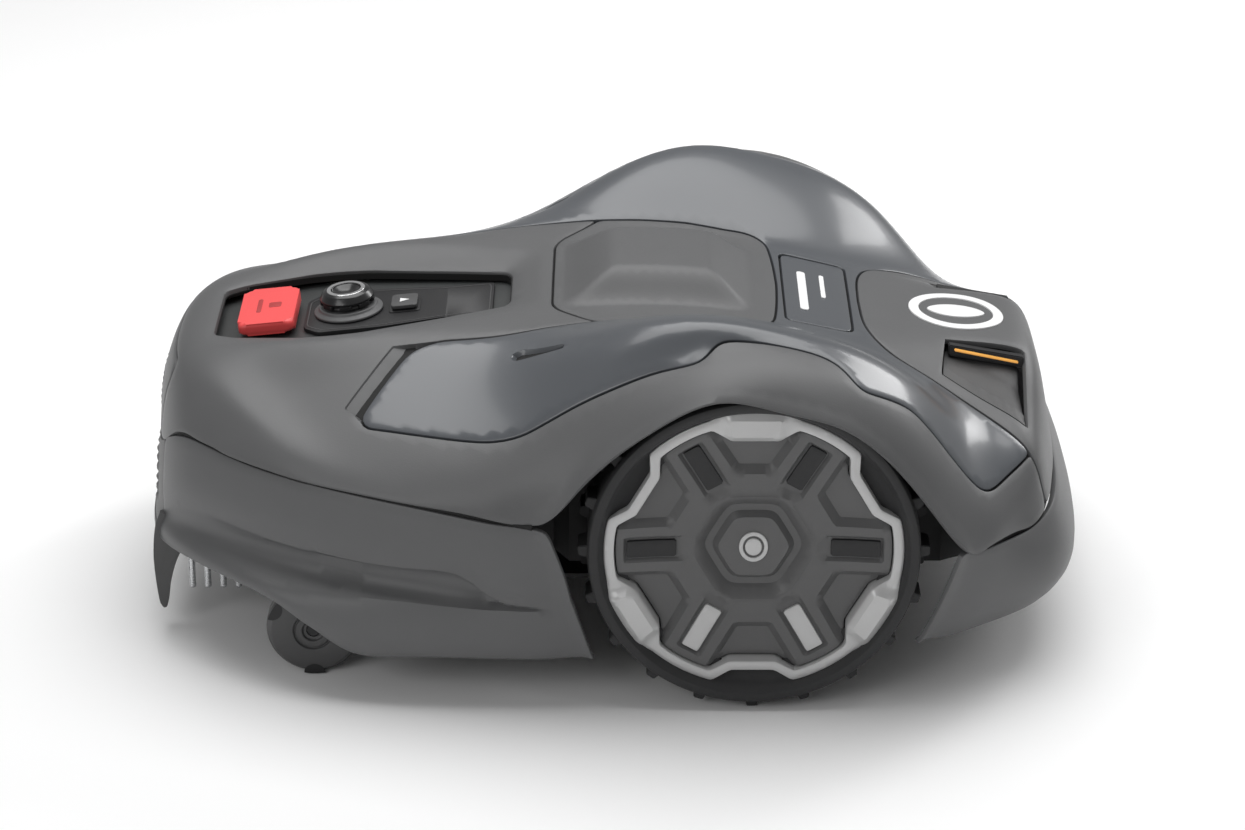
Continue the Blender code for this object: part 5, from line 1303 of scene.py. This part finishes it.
for side, sign in SIDES:
    wheel = side + "_wheel"
    hub = (WHEEL_X, sign * .1915, WHEEL_Z)
    face = Face(hub, (-sign, 0, 0), (0, 0, 1))
    flat = dict(body=wheel, cell=(1.0, 1.0))
    panel(side + "_cap", HUB, face, CAP_LOOP, nodes=[side + "_hub_cap"], shape=cap_shape, lines=CAP_LINES,
          step=.0030, gap=.0004, roll=.0009, skin=.0020, slot="cover", crisp=.70, **flat)
    ring = Face((WHEEL_X, sign * .1985, WHEEL_Z), (-sign, 0, 0), (0, 0, 1))
    panel(side + "_trim_ring", SILVER, ring, TRIM_LOOP, [CAP_LOOP], nodes=[side + "_rim_trim"],
          shape=trim_shape,
          lines=TRIM_LINES, step=.0022, gap=.0003, roll=.0012, skin=.0100, slot="silver", crisp=.50, **flat)
    for k in range(6):
        insert = loop_at((.0466, .0766), (-.0056, .0056), 60 * k)
        mat = SILVER if k in (4, 5) else BLACK
        panel("%s_cap_insert_%d" % (side, k + 1), mat, face, insert, step=.003, gap=0.0, roll=.0006,
              skin=.0012, shape=lambda _p, q: cap_base(np.hypot(q[:, 0], q[:, 1])) - .0007,
              slot="silver" if k in (4, 5) else "console_gloss", **flat)
    badge = closed_resample(np.array([(.0088 * math.cos(t), .0100 * math.sin(t)) for t in
                                      np.linspace(0, 2 * math.pi, 40, endpoint=False)]), .0015)
    core = badge * .58
    for name, loop, holes in (("_cap_badge_ring", badge, [core * 1.25]), ("_cap_badge_core", core, [])):
        panel(side + name, SILVER, face, loop, holes, step=.002, gap=0.0, roll=.0004, skin=.0012,
              shape=lambda _p, q: np.full(len(q), -.0009), slot="silver", **flat)
    lathe(side + "_tread", RUBBER, tyre_outline(sign), "Y", (WHEEL_X, 0, WHEEL_Z), wheel, [side + "_tyre"],
          segments=160)
    lugs = bmesh.new()
    for k in range(40):
        spin = Matrix.Translation((WHEEL_X, 0, WHEEL_Z)) @ Matrix.Rotation(math.pi * k / 20, 4, "Y")
        middle = sign * (.1868 if k % 2 == 0 else .1652)
        block = bmesh.new()
        levels = ((-.0975, .0046, .0100), (-.1008, .0039, .0098), (-.1060, .0029, .0088))
        skin_rows(block, [[(a * half, middle + b * wide, z) for a, b in ((-1, -1), (1, -1), (1, 1), (-1, 1))]
                          for z, half, wide in levels])
        bmesh.ops.bevel(block, geom=[e for e in block.edges if max(v.co.z for v in e.verts) < -.1],
                        offset=.0005,
                        segments=2, affect="EDGES")
        bmesh.ops.transform(block, matrix=spin, verts=block.verts)
        absorb(lugs, block)
    new_object(side + "_lugs", lugs, RUBBER, wheel)
    lathe(side + "_wheel_drum", BLACK, [(r, sign * y) for r, y in (
        (.0095, .1380), (.0200, .1380), (.0212, .1392), (.0240, .1600), (.0820, .1620), (.0850, .1600),
        (.0884, .1560), (.0884, .1850), (.0700, .1850), (.0300, .1812), (.0095, .1812))], "Y",
          (WHEEL_X, 0, WHEEL_Z), wheel, [side + "_rim"], segments=96)

# ---------------------------------------------------------------- casters and comb guards
for side, sign in SIDES:
    middle = (CASTER_X + CASTER_TRAIL, sign * CASTER_Y, CASTER_R)
    outer = sign * .0105
    profile = round_profile(((.0046, -outer), (.0115, -outer), (.0120, -outer * .86), (.0215, -outer * .86),
                             (.0225, -outer), (.0262, -outer), (.0295, -outer * .52), (.0295, outer * .52),
                             (.0262, outer), (.0126, outer), (.0122, outer * .84), (.0112, outer * .84),
                             (.0108, outer * .97), (.0070, outer * .97), (.0066, outer * .80),
                             (.0046, outer * .80)), .0009)
    lathe(side + "_roller", DEEP, profile, "Y", middle, side + "_caster_roller", [side + "_caster_wheel"],
          segments=96)
    for k in range(3):
        angle = math.radians(-90 + 120 * k)
        notch = bmesh.new()
        for t in np.linspace(0, math.pi, 13):
            across_r, along_t = .0284 - .0058 * math.sin(t), .0066 * math.cos(t)
            rim_r = math.sqrt(max(0.0, .0293 ** 2 - along_t ** 2))
            for radius, y in ((across_r, sign * (CASTER_Y + .0098)), (rim_r, sign * (CASTER_Y + .0098))):
                reach = radius * math.cos(angle) - along_t * math.sin(angle)
                rise = radius * math.sin(angle) + along_t * math.cos(angle)
                notch.verts.new((middle[0] - sign * reach, y, middle[2] + rise))
        notch.verts.ensure_lookup_table()
        for j in range(0, 24, 2):
            notch.faces.new([notch.verts[j + m] for m in (0, 2, 3, 1)])
        shifted = bmesh.ops.extrude_face_region(notch, geom=list(notch.faces))["geom"]
        for vert in (g for g in shifted if isinstance(g, bmesh.types.BMVert)):
            vert.co.y += sign * .0008
        new_object("%s_roller_notch_%d" % (side, k + 1), notch, BLACK, side + "_caster_roller")
    lathe(side + "_axle_head", DEEP, round_profile(
        ((0, sign * .0040), (0, sign * .0074), (.0016, sign * .0074), (.0026, sign * .0080),
         (.0040, sign * .0080),
         (.0043, sign * .0068), (.0043, sign * .0040)), .0003), "Y", middle, side + "_caster", segments=40)
    comb = bmesh.new()
    y = sign * .0860
    slab(comb, box_outline(-.2786, -.2294, .0566, .0616, .0014), y - .0019, y + .0019, .0004, axis="Y")
    fin = smooth(((-.2895, .0800), (-.2928, .0700), (-.2946, .0530), (-.2942, .0360), (-.2922, .0172),
                  (-.2894, .0128),
                  (-.2872, .0162), (-.2850, .0300), (-.2808, .0450), (-.2768, .0540)), 5) + [(-.2768, .0780)]
    slab(comb, closed_resample(np.array(fin), .0015), y - .0029, y + .0029, .0009, axis="Y", steps=3)
    new_object(side + "_comb", comb, DEEP, "covers", [side + "_comb_guard"])
    for k in range(5):
        x = -.2710 + k * .0098
        rod = [(0.0, .0262)] + [(.0021 * math.sin(t), .0283 - .0021 * math.cos(t))
                                for t in np.linspace(.3, math.pi / 2, 6)] + [(.0021, .0570), (0.0, .0575)]
        lathe("%s_finger_%d" % (side, k + 1), STEEL, rod, "Z", (x, y, 0), "covers", segments=24)

# ---------------------------------------------------------------- console
PITCH = math.atan(CONSOLE_FALL)
TILT = (Matrix.Translation((-.245, 0, .1715)) @ Matrix.Rotation(-PITCH, 4, "Y")
        @ Matrix.Translation((.245, 0, 0)))


def laid(name, mat, body, outline, low, high, bevel, nodes=(), steps=3):
    """Bevelled plate on the sloping console floor."""
    mesh = bmesh.new()
    slab(mesh, outline, low, high, bevel, steps=steps)
    bmesh.ops.transform(mesh, matrix=TILT, verts=mesh.verts)
    return new_object(name, mesh, mat, body, nodes)


INSERT = ((-.200, -.022), (-.190, -.032), (-.150, -.032), (-.110, -.026), (-.0785, -.0255),
          (-.0785, .0255), (-.110, .026), (-.150, .032), (-.190, .032), (-.200, .022))
inner = [(x * .965 - .0048, y * .90) for x, y in INSERT]
laid("console_panel", BLACK, "chassis", rounded(INSERT, .003), .0002, .0028, .0005, ["console_insert"])
border = bmesh.new()
outside = closed_resample(np.array(rounded(inner, .003)), .004)
for k in range(len(outside)):
    n = (k + 1) % len(outside)
    a, b = Vector((*outside[k], .0028)), Vector((*outside[n], .0028))
    way = (b - a).normalized().cross(Vector((0, 0, 1))) * .0003
    section = ((-1, 0), (1, 0), (1, .0002), (-1, .0002))
    skin_rows(border, [[p + way * s + Vector((0, 0, h)) for s, h in section] for p in (a, b)])
bmesh.ops.transform(border, matrix=TILT, verts=border.verts)
new_object("console_border", border, DEEP, "chassis")

MARK = moulded("dark_red_print", (.40, .035, .035), .42, relief=.05)
stop = bmesh.new()
slab(stop, box_outline(-.2408, -.2047, -.0298, .0298, .0062, 6), .0038, .0118, .0030, steps=5)
bmesh.ops.transform(stop, matrix=TILT, verts=stop.verts)
new_object("stop_cap", stop, RED, "stop", ["stop_button"])
laid("stop_mark_bar", MARK, "stop", box_outline(-.2300, -.2270, -.0110, .0110, .0012), .0112, .01195, .0003)
laid("stop_mark_square", MARK, "stop", box_outline(-.2225, -.2145, -.0040, .0040, .0012), .0112, .01195,
     .0003)

DIAL = (-.172, 0, 0)
lathe("dial_flange", MATTE, round_profile(
    ((0, .0033), (.0222, .0033), (.0222, .0048), (.0192, .0062), (.0186, .0078), (0, .0078)), .0006), "Z",
    DIAL,
      "chassis", ["dial_base"], segments=96, tilt=TILT)
lathe("dial_collar", PIANO, round_profile(
    ((.0096, .0086), (.0150, .0086), (.0158, .0092), (.0150, .0110), (.0172, .0122), (.0174, .0134),
     (.0150, .0172),
     (.0128, .0184), (.0124, .0181), (.0096, .0176)), .0006), "Z", DIAL, "dial", ["jog_dial"], segments=96,
      tilt=TILT)
petals = bmesh.new()
for k in range(8):
    petal = bmesh.new()
    slab(petal, box_outline(.0140, .0173, -.0040, .0040, .0010), .0094, .0122, .0005)
    bmesh.ops.transform(petal, matrix=TILT @ Matrix.Translation(DIAL) @ Matrix.Rotation(math.pi * k / 4, 4,
                                                                                        "Z"),
                        verts=petal.verts)
    absorb(petals, petal)
new_object("dial_petals", petals, BLACK, "dial")
lathe("dial_ring", CHROME, round_profile(
    ((.0098, .0168), (.0124, .0168), (.0124, .01845), (.0098, .01845)), .0004), "Z", DIAL, "dial",
    segments=96, tilt=TILT)
lathe("dial_centre", PIANO, [(0, .0104), (.0090, .0104), (.0090, .0176), (.0084, .0179), (.0074, .0174),
                             (.0058, .0161), (.0036, .0153), (0, .0151)], "Z", DIAL, "dial_push",
                             ["dial_button"],
      segments=96, tilt=TILT)
laid("start_key", DEEP, "start", box_outline(-.1438, -.1272, -.0098, .0098, .0022, 4), .0046, .0068, .0006,
     ["start_button"])
laid("start_mark", WHITE, "start", ((-.1385, -.0030), (-.1385, .0030), (-.1325, 0)), .0066, .0070, .0001,
     steps=1)
laid("start_frame", BLACK, "chassis", box_outline(-.1455, -.1255, -.0115, .0115, .0030, 4), .0026, .0034,
     .0003)

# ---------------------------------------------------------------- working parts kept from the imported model
KEPT = {
    BLACK: ("chassis_pan", "bottom_cover", "float_frame", "left_caster_fork", "right_caster_fork",
            "cutter_carriage", "height_motor", "left_wheel_motor", "right_wheel_motor"),
    CONSOLE_FLOOR: ("chassis_cover",),
    RUBBER: ("front_left_post", "front_right_post", "rear_left_post", "rear_right_post"),
    STEEL: ("height_screw", "cutter_motor", "blade_1", "blade_2", "blade_3", "blade_screw_1", "blade_screw_2",
            "blade_screw_3"),
    DEEP: ("blade_disc", "skid_plate"),
    BATTERY: ("battery_pack",),
    BOARD: ("main_board",),
}
for mat, names in KEPT.items():
    for name in names:
        skinned(name, mat)
